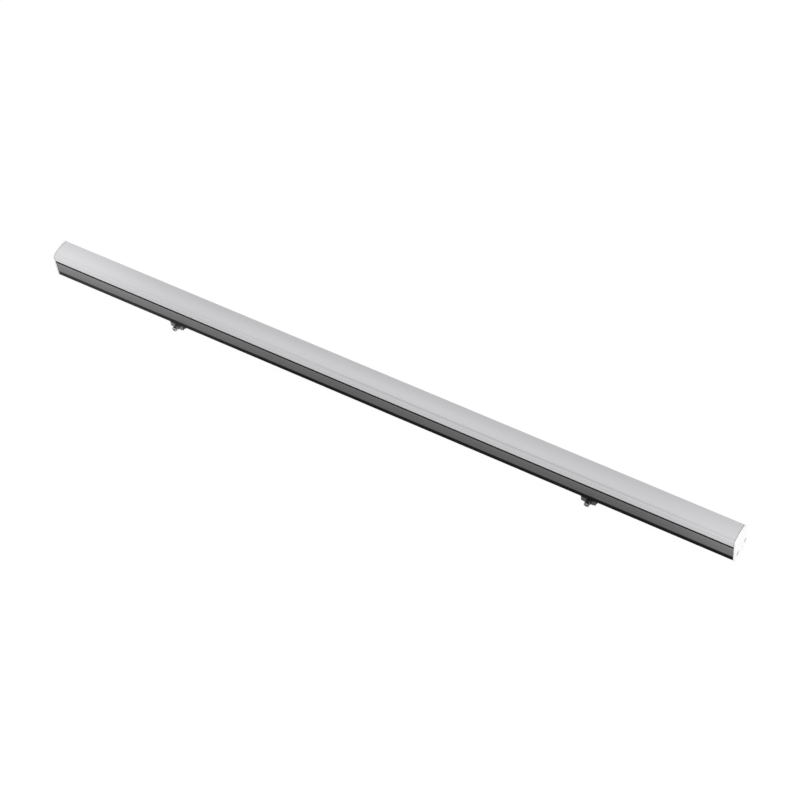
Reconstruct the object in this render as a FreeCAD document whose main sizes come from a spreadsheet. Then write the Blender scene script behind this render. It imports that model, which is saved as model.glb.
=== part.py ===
"""Linear wall washer light: a straight LED bar on two clamp clips.

X runs along the bar, the front (the side with the clamp screws' heads) faces -Y and Z is up. The origin is
under the middle of the bar, on the surface that the clips stand on. Every size is in millimetres.
"""

import FreeCAD, Part

import math
import os
import re

import Sketcher


# ---------------------------------------------------------------------------------------------------------
# Driving dimensions
# ---------------------------------------------------------------------------------------------------------

SIZES = {
    # the bar as a whole
    "overall_length": 1000,
    "body_width": 30,
    "body_height": 41.1,
    # aluminium channel
    "case_height": 25.7,
    "case_wall": 1.8,
    "chamber_wall": 2.2,
    "chamber_corner": 1.0,
    "floor_wall": 2.0,
    "shelf_height": 19.8,
    "shelf_wall": 1.5,
    "case_chamfer": 0.4,
    "foot_radius": 0.8,
    "band_height": 8.5,
    "band_inset": 0.2,
    "band_slope": 0.2,
    "groove_rise": 1.0,
    "groove_height": 2.4,
    "groove_depth": 0.7,
    "port_bore": 1.45,
    "port_wall": 1.25,
    "port_embed": 0.3,
    "port_slot": 1.2,
    "port_height": 12.6,
    # rail under the channel
    "flange_width": 18.0,
    "flange_height": 1.6,
    "neck_width": 11.0,
    "neck_height": 1.9,
    "rail_setback": 12.0,
    # diffuser and its seals
    "diffuser_wall": 1.8,
    "diffuser_corner": 3.0,
    "diffuser_inner_corner": 1.2,
    "diffuser_crown": 1.6,
    "leg_wall": 1.6,
    "leg_gap": 0.2,
    "leg_below_groove": 0.2,
    "barb_reach": 0.7,
    "barb_land": 0.6,
    "barb_gap": 0.2,
    "seal_height": 3.0,
    "seal_gap": 0.1,
    "seal_inset": 0.3,
    # end caps and gaskets
    "cap_wall": 3.0,
    "cap_overhang": 0.4,
    "cap_edge": 0.6,
    "plug_depth": 3.2,
    "plug_gap": 0.3,
    "gasket_wall": 0.8,
    "gasket_inset": 0.3,
    "cap_screw_radius": 1.4,
    "cap_screw_length": 12.0,
    "cap_screw_head_radius": 2.8,
    "cap_screw_head_height": 1.6,
    "cap_screw_sink": 0.2,
    "cap_screw_socket": 2.0,
    "cap_screw_socket_depth": 1.0,
    "screw_hole_gap": 0.2,
    "gasket_hole_gap": 0.4,
    # cable inlet in the left cap
    "cable_radius": 3.25,
    "grommet_wall": 1.35,
    "grommet_flange": 1.4,
    "grommet_flange_depth": 1.0,
    "grommet_tail": 1.0,
    "grommet_barb": 0.5,
    "grommet_ring_wall": 2.3,
    "grommet_ring_depth": 1.6,
    "grommet_gap": 0.05,
    # circuit boards with their LEDs
    "board_gap": 1.4,
    "board_wall": 1.6,
    "board_margin": 5.0,
    "board_split": 1.0,
    "led_pitch": 20.0,
    "led_length": 3.5,
    "led_width": 2.8,
    "led_height": 0.8,
    "led_rim": 0.4,
    "led_well": 0.2,
    "link_length": 14.0,
    "link_width": 5.0,
    "link_height": 2.2,
    "link_offset": 6.5,
    "link_step": 0.8,
    "board_screw_first": 60.0,
    "board_screw_pitch": 200.0,
    "board_screw_radius": 1.2,
    "board_screw_gap": 0.05,
    "board_hole_gap": 0.2,
    "board_screw_length": 4.0,
    "board_screw_head_radius": 2.2,
    "board_screw_head_height": 1.5,
    # driver: its places are counted from the tray's left end
    "tray_margin": 41.2,
    "tray_length": 170.0,
    "tray_gap": 1.2,
    "tray_wall": 0.8,
    "tray_ledge": 1.2,
    "tray_ledge_height": 2.4,
    "tray_height": 4.4,
    "driver_margin": 5.0,
    "driver_gap": 0.2,
    "terminal_place": 19.0,
    "terminal_length": 10.0,
    "terminal_width": 12.0,
    "terminal_height": 9.0,
    "terminal_entry": 1.5,
    "terminal_entry_level": 3.0,
    "terminal_entry_depth": 5.0,
    "choke_place": 37.0,
    "choke_radius": 5.0,
    "choke_height": 8.0,
    "choke_flange": 1.2,
    "choke_waist": 3.4,
    "rectifier_place": 52.0,
    "rectifier_length": 9.0,
    "rectifier_width": 6.4,
    "rectifier_height": 3.0,
    "rectifier_bevel": 0.8,
    "bulk_place": 69.0,
    "bulk_radius": 5.0,
    "bulk_length": 16.0,
    "output_place": 123.0,
    "output_radius": 3.6,
    "output_height": 9.5,
    "can_edge": 0.5,
    "transformer_place": 97.0,
    "transformer_length": 16.0,
    "transformer_width": 13.0,
    "transformer_height": 10.0,
    "winding_inset": 1.6,
    "core_flange": 2.0,
    # flat two-core lead from the driver up to the left LED board
    "lead_place": 155.0,
    "lead_run": 20.0,
    "lead_offset": 5.0,
    "lead_width": 4.0,
    "lead_wall": 1.0,
    "lead_bend": 4.0,
    "lead_level": 6.0,
    "lead_stub": 0.8,
    "lead_slot_gap": 0.4,
    # clamp clips
    "clip_spacing": 610.0,
    "clip_shift": -2.3,
    "clip_width": 20.0,
    "clip_floor": 3.4,
    "screw_space": 5.2,
    "jaw_wall": 3.7,
    "jaw_gap": 0.3,
    "jaw_lip_gap": 0.2,
    "jaw_lip_height": 1.4,
    "jaw_lip_reach": 2.7,
    "jaw_corner": 2.6,
    "jaw_edge": 1.0,
    "toe_wall": 1.0,
    "toe_width": 13.0,
    "toe_setback": 0.4,
    "toe_gap": 0.2,
    "floor_gap": 0.5,
    "boss_radius": 3.5,
    "boss_height": 1.5,
    "fixing_offset": 5.0,
    "fixing_radius": 2.25,
    "fixing_sink_radius": 4.0,
    # clamp screw, washers and nut
    "clamp_offset": 1.0,
    "clamp_height": 6.4,
    "clamp_radius": 2.0,
    "clamp_hole_gap": 0.2,
    "clamp_thread_gap": 0.05,
    "clamp_head_radius": 3.5,
    "clamp_head_height": 4.0,
    "clamp_head_edge": 0.4,
    "clamp_socket": 3.0,
    "clamp_socket_depth": 2.2,
    "clamp_tail": 1.5,
    "turning_gap": 0.05,
    "flat_washer_radius": 4.5,
    "flat_washer_wall": 0.8,
    "spring_washer_radius": 3.6,
    "spring_washer_wall": 1.2,
    "spring_washer_slit": 0.7,
    "nut_across": 7.0,
    "nut_height": 3.2,
    "nut_edge": 0.3,
}

# ---------------------------------------------------------------------------------------------------------
# Places worked out from the driving dimensions, as expressions on their names
# ---------------------------------------------------------------------------------------------------------

# heights, from the clips' underside up
RAIL_FOOT = "(clip_floor + screw_space)"
RAIL_TOP = f"({RAIL_FOOT} + flange_height)"
BODY_FOOT = f"({RAIL_TOP} + neck_height)"
BODY_TOP = f"({BODY_FOOT} + body_height)"
FLOOR_TOP = f"({BODY_FOOT} + floor_wall)"
PORT_LEVEL = f"({BODY_FOOT} + port_height)"
SHELF_FOOT = f"({BODY_FOOT} + shelf_height)"
SHELF_TOP = f"({SHELF_FOOT} + shelf_wall)"
GROOVE_FOOT = f"({SHELF_TOP} + groove_rise)"
GROOVE_TOP = f"({GROOVE_FOOT} + groove_height)"
CASE_TOP = f"({BODY_FOOT} + case_height)"
SHOULDER = f"({CASE_TOP} + seal_height)"
BOARD_TOP = f"({SHELF_TOP} + board_wall)"
DRIVER_FOOT = f"({FLOOR_TOP} + tray_ledge_height)"
DRIVER_TOP = f"({DRIVER_FOOT} + board_wall)"

# half widths, from the bar's middle plane out
SIDE = "(body_width / 2)"
BAND_SIDE = f"({SIDE} - band_inset)"
BAND_FOOT_SIDE = f"({BAND_SIDE} - band_slope)"
CASE_INNER = f"({SIDE} - case_wall)"
CHAMBER_SIDE = f"({SIDE} - chamber_wall)"
PORT_RADIUS = "(port_bore + port_wall)"
PORT_REACH = f"({PORT_RADIUS} - port_embed)"
PORT_SIDE = f"({CHAMBER_SIDE} - {PORT_REACH})"
LEG_OUTER = f"({CASE_INNER} - leg_gap)"
LEG_INNER = f"({LEG_OUTER} - leg_wall)"
DIFFUSER_INNER = f"({SIDE} - diffuser_wall)"
BOARD_SIDE = f"({LEG_INNER} - board_gap)"
TRAY_SIDE = f"({CHAMBER_SIDE} - tray_gap)"
DRIVER_SIDE = f"({TRAY_SIDE} - tray_wall - driver_gap)"

# half lengths, from the bar's middle out
CAP_FACE = "(overall_length / 2)"
CAP_BACK = f"({CAP_FACE} - cap_wall)"
PROFILE_END = f"({CAP_BACK} - gasket_wall)"
PLUG_END = f"({PROFILE_END} - plug_depth)"
RAIL_END = f"({PROFILE_END} - rail_setback)"
BOARD_END = f"({PROFILE_END} - board_margin)"

# places along the bar, from its middle to the right
TRAY_START = f"(tray_margin - {PROFILE_END})"
LEAD_END = f"({TRAY_START} + lead_place + lead_run)"

# how many LEDs and screws each board has room for
LED_COUNT = f"floor(({BOARD_END} - board_split / 2) / led_pitch)"
BOARD_SCREW_COUNT = f"(floor(({BOARD_END} - board_screw_first) / board_screw_pitch) + 1)"

# clip faces, as distances in front of the middle plane (a negative one lies behind it)
FLANGE_SIDE = "(flange_width / 2)"
JAW_BACK = f"({FLANGE_SIDE} + jaw_gap)"
JAW_FACE = f"({JAW_BACK} + jaw_wall)"
LIP_TIP = f"({JAW_BACK} - jaw_gap - jaw_lip_reach)"
LIP_FOOT = f"({RAIL_TOP} + jaw_lip_gap)"
LIP_TOP = f"({LIP_FOOT} + jaw_lip_height)"
BOSS_FACE = f"({JAW_FACE} + boss_height)"
WASHER_FACE = f"({BOSS_FACE} + flat_washer_wall)"
SPRING_FACE = f"({WASHER_FACE} + spring_washer_wall)"
HEAD_BACK = f"({SPRING_FACE} + turning_gap)"
HEAD_FACE = f"({HEAD_BACK} + clamp_head_height)"
NUT_FACE = f"({JAW_FACE} + nut_height)"
SCREW_TIP = f"({NUT_FACE} + clamp_tail)"

LEFT, RIGHT = -1, 1
SIDES = ((LEFT, "left"), (RIGHT, "right"))

document = FreeCAD.newDocument("wall_washer")
sheet = document.addObject("Spreadsheet::Sheet", "sizes")


# ---------------------------------------------------------------------------------------------------------
# Sheet, sketch and feature helpers
# ---------------------------------------------------------------------------------------------------------

def fill_sheet():
    """Write each driving dimension's name and value to a row of the sheet, with the name as the alias."""
    for row, (name, value) in enumerate(SIZES.items(), start=1):
        sheet.set(f"A{row}", name)
        sheet.set(f"B{row}", str(value))
        sheet.setAlias(f"B{row}", name)
    document.recompute()


def bound(expression):
    """Return an expression with each size's name pointing at its cell of the sheet."""
    return re.sub(r"[a-z_]+(?![a-z_(])", lambda word: f"sizes.{word.group()}", str(expression))


def worth(expression):
    """Return what an expression on the sheet's names is worth, as a number."""
    return float(sheet.evalExpression(bound(expression)))


def bind(thing, target, expression):
    """Tie one property or constraint of an object to an expression on the sheet."""
    thing.setExpression(target, bound(expression))


def new_body(label, group=False):
    """Return an empty body; a group holds several separate solids."""
    body = document.addObject("PartDesign::Body", label)
    body.Label = label
    body.AllowCompound = group
    return body


def origin_feature(body, role):
    """Return a body's own origin plane or axis."""
    return next(feature for feature in body.Origin.OriginFeatures if feature.Role == role)


def new_sketch(body, name, plane, out="0", across="0", up="0"):
    """Return a sketch on a body's origin plane, moved out along its normal and over its own two axes."""
    sketch = body.newObject("Sketcher::SketchObject", name)
    sketch.AttachmentSupport = (origin_feature(body, plane), [""])
    sketch.MapMode = "FlatFace"
    for axis, expression in (("x", across), ("y", up), ("z", out)):
        bind(sketch, f"AttachmentOffset.Base.{axis}", expression)
    return sketch


class Arc:
    """A round stretch that leads to the next corner. It turns left (anticlockwise) unless told otherwise."""

    def __init__(self, radius, turns_left=True, long=False):
        self.radius = radius
        self.turns_left = turns_left
        self.long = long

    def between(self, begin, end):
        """Return the arc from one point to the other."""
        radius = worth(self.radius)
        chord = end - begin
        height = math.sqrt(max(radius ** 2 - (chord.Length / 2) ** 2, 0))
        to_left = FreeCAD.Vector(-chord.y, chord.x, 0).normalize()
        side = 1 if self.turns_left != self.long else -1
        centre = (begin + end) / 2 + to_left * (height * side)
        first, last = (begin, end) if self.turns_left else (end, begin)
        angles = [math.atan2(point.y - centre.y, point.x - centre.x) for point in (first, last)]
        return Part.ArcOfCircle(Part.Circle(centre, FreeCAD.Vector(0, 0, 1), radius), *angles)


def draw(sketch, corners):
    """Draw a closed line through corners (x, y) or (x, y, Arc), each tied to the sheet."""
    base = sketch.GeometryCount
    places = [FreeCAD.Vector(worth(corner[0]), worth(corner[1]), 0) for corner in corners]
    ends = []
    for number, corner in enumerate(corners):
        begin, end = places[number], places[(number + 1) % len(places)]
        arc = corner[2] if len(corner) > 2 else None
        edge = arc.between(begin, end) if arc else Part.LineSegment(begin, end)
        sketch.addGeometry(edge, False)
        ends.append((1, 2) if arc is None or arc.turns_left else (2, 1))
        if arc:
            tie(sketch, Sketcher.Constraint("Radius", base + number, worth(arc.radius)), arc.radius)
    for number, corner in enumerate(corners):
        after = (number + 1) % len(corners)
        sketch.addConstraint(
            Sketcher.Constraint("Coincident", base + number, ends[number][1], base + after, ends[after][0])
        )
        place_point(sketch, base + number, ends[number][0], corner[0], corner[1])


def draw_circle(sketch, across, up, radius):
    """Draw a circle whose centre and radius are tied to the sheet."""
    centre = FreeCAD.Vector(worth(across), worth(up), 0)
    circle = Part.Circle(centre, FreeCAD.Vector(0, 0, 1), worth(radius))
    edge = sketch.addGeometry(circle, False)
    tie(sketch, Sketcher.Constraint("Radius", edge, worth(radius)), radius)
    place_point(sketch, edge, 3, across, up)


def place_point(sketch, edge, point, across, up):
    """Tie a point of a sketch to its distances from the sketch's origin."""
    for kind, expression in (("DistanceX", across), ("DistanceY", up)):
        tie(sketch, Sketcher.Constraint(kind, -1, 1, edge, point, worth(expression)), expression)


def tie(sketch, constraint, expression):
    """Add a constraint whose value follows the sheet."""
    bind(sketch, f"Constraints[{sketch.addConstraint(constraint)}]", expression)


def both_sides(half):
    """Return a closed outline: a right half from its lower end to its upper end, and its mirror image."""
    mirrored = []
    for number in range(len(half) - 1, -1, -1):
        across, up = half[number][:2]
        arc = half[number - 1][2:] if number > 0 else ()
        mirrored.append((f"(-{across})", up, *arc))
    return list(half) + mirrored


def box(left, low, right, high):
    """Return a rectangle's corners."""
    return [(left, low), (right, low), (right, high), (left, high)]


def hexagon(across, up, across_flats):
    """Return a hexagon's corners about a centre, with flats above and below."""
    reach = f"({across_flats} / sqrt(3))"
    rise = f"({across_flats} / 2)"
    return [
        (f"{across} + {reach}", up),
        (f"{across} + {reach} / 2", f"{up} + {rise}"),
        (f"{across} - {reach} / 2", f"{up} + {rise}"),
        (f"{across} - {reach}", up),
        (f"{across} - {reach} / 2", f"{up} - {rise}"),
        (f"{across} + {reach} / 2", f"{up} - {rise}"),
    ]


def pad(body, name, plane, start, length, *outlines):
    """Pad outlines (lists of corners) from a start along the plane's normal."""
    sketch = new_sketch(body, f"{name}_outline", plane, out=start)
    for outline in outlines:
        draw(sketch, outline)
    return pad_sketch(body, name, sketch, length)


def pad_sketch(body, name, sketch, length):
    """Pad a sketch that is already drawn."""
    feature = body.newObject("PartDesign::Pad", name)
    feature.Profile = sketch
    bind(feature, "Length", length)
    document.recompute()
    return feature


def loft(body, name, plane, stages):
    """Join outlines of as many corners each, placed along the plane's normal, by straight walls."""
    sketches = []
    for number, (place, outline) in enumerate(stages, start=1):
        sketches.append(new_sketch(body, f"{name}_outline_{number}", plane, out=place))
        draw(sketches[-1], outline)
    feature = body.newObject("PartDesign::AdditiveLoft", name)
    feature.Profile = sketches[0]
    feature.Sections = sketches[1:]
    feature.Ruled = True
    document.recompute()
    return feature


def cut_sketch(body, name, sketch, length):
    """Cut a sketch that is already drawn along its normal, and make sure that it removes something."""
    before = body.Shape.Volume
    feature = body.newObject("PartDesign::Pocket", name)
    feature.Profile = sketch
    feature.Reversed = True
    bind(feature, "Length", length)
    return checked_cut(body, feature, before)


def cut(body, name, plane, start, length, *outlines):
    """Cut outlines from a start along the plane's normal."""
    sketch = new_sketch(body, f"{name}_outline", plane, out=start)
    for outline in outlines:
        draw(sketch, outline)
    return cut_sketch(body, name, sketch, length)


def drill(body, name, plane, start, length, holes):
    """Cut round holes (across, up, radius) from a start along the plane's normal."""
    sketch = new_sketch(body, f"{name}_outline", plane, out=start)
    for across, up, radius in holes:
        draw_circle(sketch, across, up, radius)
    return cut_sketch(body, name, sketch, length)


def checked_cut(body, feature, before):
    """Recompute after a cut and refuse one that takes nothing away."""
    document.recompute()
    if body.Shape.Volume >= before - 1e-6:
        raise RuntimeError(f"{body.Label}: {feature.Name} removes nothing")
    return feature


def turn(body, name, sketch, axis="H_Axis"):
    """Revolve a drawn half section about one of its sketch's axes."""
    feature = body.newObject("PartDesign::Revolution", name)
    feature.Profile = sketch
    feature.ReferenceAxis = (sketch, [axis])
    feature.Angle = 360
    document.recompute()
    return feature


def turned_along_x(body, name, across, up, corners):
    """Turn a half section (place along X, radius) about a line along X."""
    sketch = new_sketch(body, f"{name}_section", "XY_Plane", out=up, up=across)
    draw(sketch, corners)
    return turn(body, name, sketch)


def turned_along_y(body, name, place, up, corners):
    """Turn a half section (distance in front of the middle plane, radius) about a line along Y."""
    sketch = new_sketch(body, f"{name}_section", "YZ_Plane", out=place, up=up)
    draw(sketch, [(f"(-{corner[0]})", *corner[1:]) for corner in corners])
    return turn(body, name, sketch)


def turned_upright(body, name, place, across, corners):
    """Turn a half section (radius, height) about an upright line."""
    sketch = new_sketch(body, f"{name}_section", "XZ_Plane", out=f"(-{across})", across=place)
    draw(sketch, corners)
    return turn(body, name, sketch, "V_Axis")


def dress(body, kind, name, size_name, size, wanted):
    """Fillet or chamfer the edges of a body's shape that a test picks."""
    base = body.Tip
    edges = [f"Edge{number}" for number, edge in enumerate(base.Shape.Edges, start=1) if wanted(edge)]
    if not edges:
        raise RuntimeError(f"{body.Label}: {name} finds no edge")
    feature = body.newObject(kind, name)
    feature.Base = (base, edges)
    bind(feature, size_name, size)
    document.recompute()
    return feature


def repeat_along_x(body, name, feature, count, pitch):
    """Repeat features along X, counting the first."""
    pattern = body.newObject("PartDesign::LinearPattern", name)
    pattern.Originals = feature
    pattern.Direction = (origin_feature(body, "X_Axis"), [""])
    bind(pattern, "Occurrences", count)
    bind(pattern, "Length", f"({count} - 1) * {pitch}")
    body.Tip = pattern
    document.recompute()
    return pattern


def mirror_body(body, name, plane):
    """Add the mirror image of a whole body about one of its origin planes."""
    mirror = body.newObject("PartDesign::Mirrored", name)
    mirror.TransformMode = "Whole shape"
    mirror.MirrorPlane = (origin_feature(body, plane), [""])
    body.Tip = mirror
    document.recompute()
    return mirror


def span(side, near, far):
    """Return where a stretch along X starts and how long it is, on the left or the right of the middle."""
    start = near if side == RIGHT else f"(-{far})"
    return start, f"({far} - {near})"


def at(side, place):
    """Return a place along X on the left or the right of the middle."""
    return f"({side} * {place})"


# ---------------------------------------------------------------------------------------------------------
# Bar: channel, diffuser, seals, caps
# ---------------------------------------------------------------------------------------------------------

def board_screw_places():
    """Return the places along X of the screws that hold the LED boards."""
    count = int(worth(BOARD_SCREW_COUNT))
    steps = [f"(board_screw_first + {step} * board_screw_pitch)" for step in range(count)]
    return [at(side, step) for side, _ in SIDES for step in steps]


def channel_outline():
    """Return the channel's outer section, with the T-rail under it and the trough above the shelf."""
    return both_sides([
        (FLANGE_SIDE, RAIL_FOOT),
        (FLANGE_SIDE, RAIL_TOP),
        ("(neck_width / 2)", RAIL_TOP),
        ("(neck_width / 2)", BODY_FOOT),
        (f"({BAND_FOOT_SIDE} - foot_radius)", BODY_FOOT, Arc("foot_radius")),
        (BAND_FOOT_SIDE, f"({BODY_FOOT} + foot_radius)"),
        (BAND_SIDE, f"({BODY_FOOT} + band_height)"),
        (SIDE, f"({BODY_FOOT} + band_height + band_inset / 2)"),
        (SIDE, f"({CASE_TOP} - case_chamfer)"),
        (f"({SIDE} - case_chamfer)", CASE_TOP),
        (CASE_INNER, CASE_TOP),
        (CASE_INNER, GROOVE_TOP),
        (f"({CASE_INNER} + groove_depth)", GROOVE_TOP),
        (f"({CASE_INNER} + groove_depth)", GROOVE_FOOT),
        (CASE_INNER, GROOVE_FOOT),
        (CASE_INNER, SHELF_TOP),
    ])


def chamber_outline():
    """Return the wiring chamber's section, with a slit screw port in each side wall."""
    web = f"sqrt({PORT_RADIUS}^2 - {PORT_REACH}^2)"
    slit = "(port_slot / 2)"
    lip_outer = f"({PORT_SIDE} - sqrt({PORT_RADIUS}^2 - {slit}^2))"
    lip_inner = f"({PORT_SIDE} - sqrt(port_bore^2 - {slit}^2))"
    return both_sides([
        (f"({CHAMBER_SIDE} - chamber_corner)", FLOOR_TOP, Arc("chamber_corner")),
        (CHAMBER_SIDE, f"({FLOOR_TOP} + chamber_corner)"),
        (CHAMBER_SIDE, f"({PORT_LEVEL} - {web})", Arc(PORT_RADIUS, turns_left=False)),
        (lip_outer, f"({PORT_LEVEL} - {slit})"),
        (lip_inner, f"({PORT_LEVEL} - {slit})", Arc("port_bore", long=True)),
        (lip_inner, f"({PORT_LEVEL} + {slit})"),
        (lip_outer, f"({PORT_LEVEL} + {slit})", Arc(PORT_RADIUS, turns_left=False)),
        (CHAMBER_SIDE, f"({PORT_LEVEL} + {web})"),
        (CHAMBER_SIDE, SHELF_FOOT),
    ])


def make_base_extrusion():
    """Make the channel: one extruded section, its rail milled back at both ends, its shelf drilled."""
    body = new_body("base_extrusion")
    pad(body, "channel", "YZ_Plane", f"(-{PROFILE_END})", f"(2 * {PROFILE_END})",
        channel_outline(), chamber_outline())
    past_end = f"({PROFILE_END} + flange_height)"
    rail_side = f"({FLANGE_SIDE} + flange_height)"
    ends = [
        box(at(LEFT, past_end), f"(-{rail_side})", at(LEFT, RAIL_END), rail_side),
        box(at(RIGHT, RAIL_END), f"(-{rail_side})", at(RIGHT, past_end), rail_side),
    ]
    cut(body, "rail_ends", "XY_Plane", "clip_floor", f"({BODY_FOOT} - clip_floor)", *ends)
    thread = "(board_screw_radius + board_screw_gap)"
    holes = [(place, "0", thread) for place in board_screw_places()]
    drill(body, "screw_holes", "XY_Plane", SHELF_FOOT, "shelf_wall", holes)
    cut(body, "lead_slot", "XY_Plane", SHELF_FOOT, "shelf_wall", lead_slot())


def lead_slot():
    """Return the outline of the slot through which the driver's lead reaches the LED board."""
    half_length = "(lead_wall / 2 + lead_slot_gap)"
    half_width = "(lead_width / 2 + lead_slot_gap)"
    return box(f"({LEAD_END} - {half_length})", f"(lead_offset - {half_width})",
               f"({LEAD_END} + {half_length})", f"(lead_offset + {half_width})")


def crown_radius():
    """Return the radius of the gentle arch over the bar, between its two rounded corners."""
    half = f"({SIDE} - diffuser_corner)"
    return f"(({half}^2 + diffuser_crown^2) / (2 * diffuser_crown))"


def make_diffuser():
    """Make the milky cover: an arched top, shoulders on the seals and two legs with barbs that snap in."""
    body = new_body("diffuser")
    inner_top = f"({BODY_TOP} - diffuser_crown - diffuser_wall)"
    step = f"({SHOULDER} + diffuser_wall)"
    leg_foot = f"({GROOVE_FOOT} - leg_below_groove)"
    barb_side = f"({LEG_OUTER} + barb_reach)"
    barb_top = f"({GROOVE_TOP} - barb_gap)"
    corner_foot = f"({BODY_TOP} - diffuser_crown - diffuser_corner)"
    outline = both_sides([
        (f"({DIFFUSER_INNER} - diffuser_inner_corner)", inner_top,
         Arc("diffuser_inner_corner", turns_left=False)),
        (DIFFUSER_INNER, f"({inner_top} - diffuser_inner_corner)"),
        (DIFFUSER_INNER, step),
        (LEG_INNER, step),
        (LEG_INNER, leg_foot),
        (LEG_OUTER, leg_foot),
        (barb_side, f"({barb_top} - barb_land)"),
        (barb_side, barb_top),
        (LEG_OUTER, barb_top),
        (LEG_OUTER, SHOULDER),
        (SIDE, SHOULDER),
        (SIDE, corner_foot, Arc("diffuser_corner")),
        (f"({SIDE} - diffuser_corner)", f"({corner_foot} + diffuser_corner)", Arc(crown_radius())),
    ])
    outline[-1] += (Arc(crown_radius(), turns_left=False),)
    pad(body, "cover", "YZ_Plane", f"(-{PROFILE_END})", f"(2 * {PROFILE_END})", outline)


def make_seals():
    """Make the two seal strips that fill the joint between the channel's walls and the diffuser."""
    near = f"({CASE_INNER} + seal_gap)"
    far = f"({SIDE} - seal_inset)"
    for label, inner, outer in (("seal_front", f"(-{near})", f"(-{far})"), ("seal_rear", near, far)):
        body = new_body(label)
        pad(body, "strip", "YZ_Plane", f"(-{PROFILE_END})", f"(2 * {PROFILE_END})",
            box(inner, CASE_TOP, outer, SHOULDER))


def end_outline(overhang):
    """Return the bar's outer end section, grown by an overhang."""
    side = f"({SIDE} + {overhang})"
    foot = f"({BODY_FOOT} - {overhang})"
    foot_corner = f"(foot_radius + band_inset + {overhang})"
    corner = f"(diffuser_corner + {overhang})"
    corner_foot = f"({BODY_TOP} - diffuser_crown - diffuser_corner)"
    return both_sides([
        (f"({side} - {foot_corner})", foot, Arc(foot_corner)),
        (side, f"({foot} + {foot_corner})"),
        (side, corner_foot, Arc(corner)),
        (f"({SIDE} - diffuser_corner)", f"({corner_foot} + {corner})", Arc(crown_radius())),
    ])


def plug_outline(gap):
    """Return the section of the block that locates a cap between the screw ports, less a gap all round."""
    side = f"({PORT_SIDE} - {PORT_RADIUS} - {gap})"
    return both_sides([(side, f"({FLOOR_TOP} + {gap})"), (side, f"({SHELF_FOOT} - {gap})")])


def make_end_cap(side, name):
    """Make a moulded cap with its plug and two counterbored holes; the left one takes the cable."""
    body = new_body(f"end_cap_{name}")
    edge_start = f"({CAP_FACE} - cap_edge)"
    pad(body, "wall", "YZ_Plane", *span(side, CAP_BACK, edge_start), end_outline("cap_overhang"))
    loft(body, "bevel", "YZ_Plane", [
        (at(side, edge_start), end_outline("cap_overhang")),
        (at(side, CAP_FACE), end_outline("(cap_overhang - cap_edge)")),
    ])
    pad(body, "plug", "YZ_Plane", *span(side, PLUG_END, CAP_BACK), plug_outline("plug_gap"))
    hole = "(cap_screw_radius + screw_hole_gap)"
    seat = "(cap_screw_head_radius + screw_hole_gap)"
    ports = (f"(-{PORT_SIDE})", PORT_SIDE)
    drill(body, "screw_holes", "YZ_Plane", *span(side, CAP_BACK, CAP_FACE),
          [(port, PORT_LEVEL, hole) for port in ports])
    seat_depth = f"({CAP_FACE} - cap_screw_head_height - cap_screw_sink)"
    drill(body, "screw_seats", "YZ_Plane", *span(side, seat_depth, CAP_FACE),
          [(port, PORT_LEVEL, seat) for port in ports])
    if side == LEFT:
        drill(body, "cable_hole", "YZ_Plane", *span(side, PLUG_END, CAP_FACE),
              [("0", PORT_LEVEL, "(cable_radius + grommet_wall + grommet_gap)")])
        drill(body, "grommet_seat", "YZ_Plane", *span(side, f"({CAP_FACE} - grommet_flange_depth)", CAP_FACE),
              [("0", PORT_LEVEL, "(cable_radius + grommet_wall + grommet_flange + grommet_gap)")])


def make_end_gasket(side, name):
    """Make the flat seal between a cap and the channel, open for the plug and the screws."""
    body = new_body(f"end_gasket_{name}")
    start, length = span(side, PROFILE_END, CAP_BACK)
    pad(body, "sheet", "YZ_Plane", start, length, end_outline("(-gasket_inset)"), plug_outline("0"))
    hole = "(cap_screw_radius + gasket_hole_gap)"
    drill(body, "screw_holes", "YZ_Plane", start, length,
          [(port, PORT_LEVEL, hole) for port in (f"(-{PORT_SIDE})", PORT_SIDE)])


def make_cap_screws(side, name):
    """Make the two screws of one cap: round heads with hexagon sockets, sunk in the cap."""
    body = new_body(f"cap_screws_{name}", group=True)
    head_face = f"({CAP_FACE} - cap_screw_sink)"
    head_back = f"({head_face} - cap_screw_head_height)"
    tip = f"({head_back} - cap_screw_length)"
    turned_along_x(body, "screw", PORT_SIDE, PORT_LEVEL, [
        (at(side, tip), "0"),
        (at(side, head_face), "0"),
        (at(side, head_face), "(cap_screw_head_radius - cap_screw_sink)"),
        (at(side, f"({head_face} - cap_screw_sink)"), "cap_screw_head_radius"),
        (at(side, head_back), "cap_screw_head_radius"),
        (at(side, head_back), "cap_screw_radius"),
        (at(side, tip), "cap_screw_radius"),
    ])
    cut(body, "socket", "YZ_Plane", *span(side, f"({head_face} - cap_screw_socket_depth)", head_face),
        hexagon(PORT_SIDE, PORT_LEVEL, "cap_screw_socket"))
    mirror_body(body, "pair", "XZ_Plane")


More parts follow.
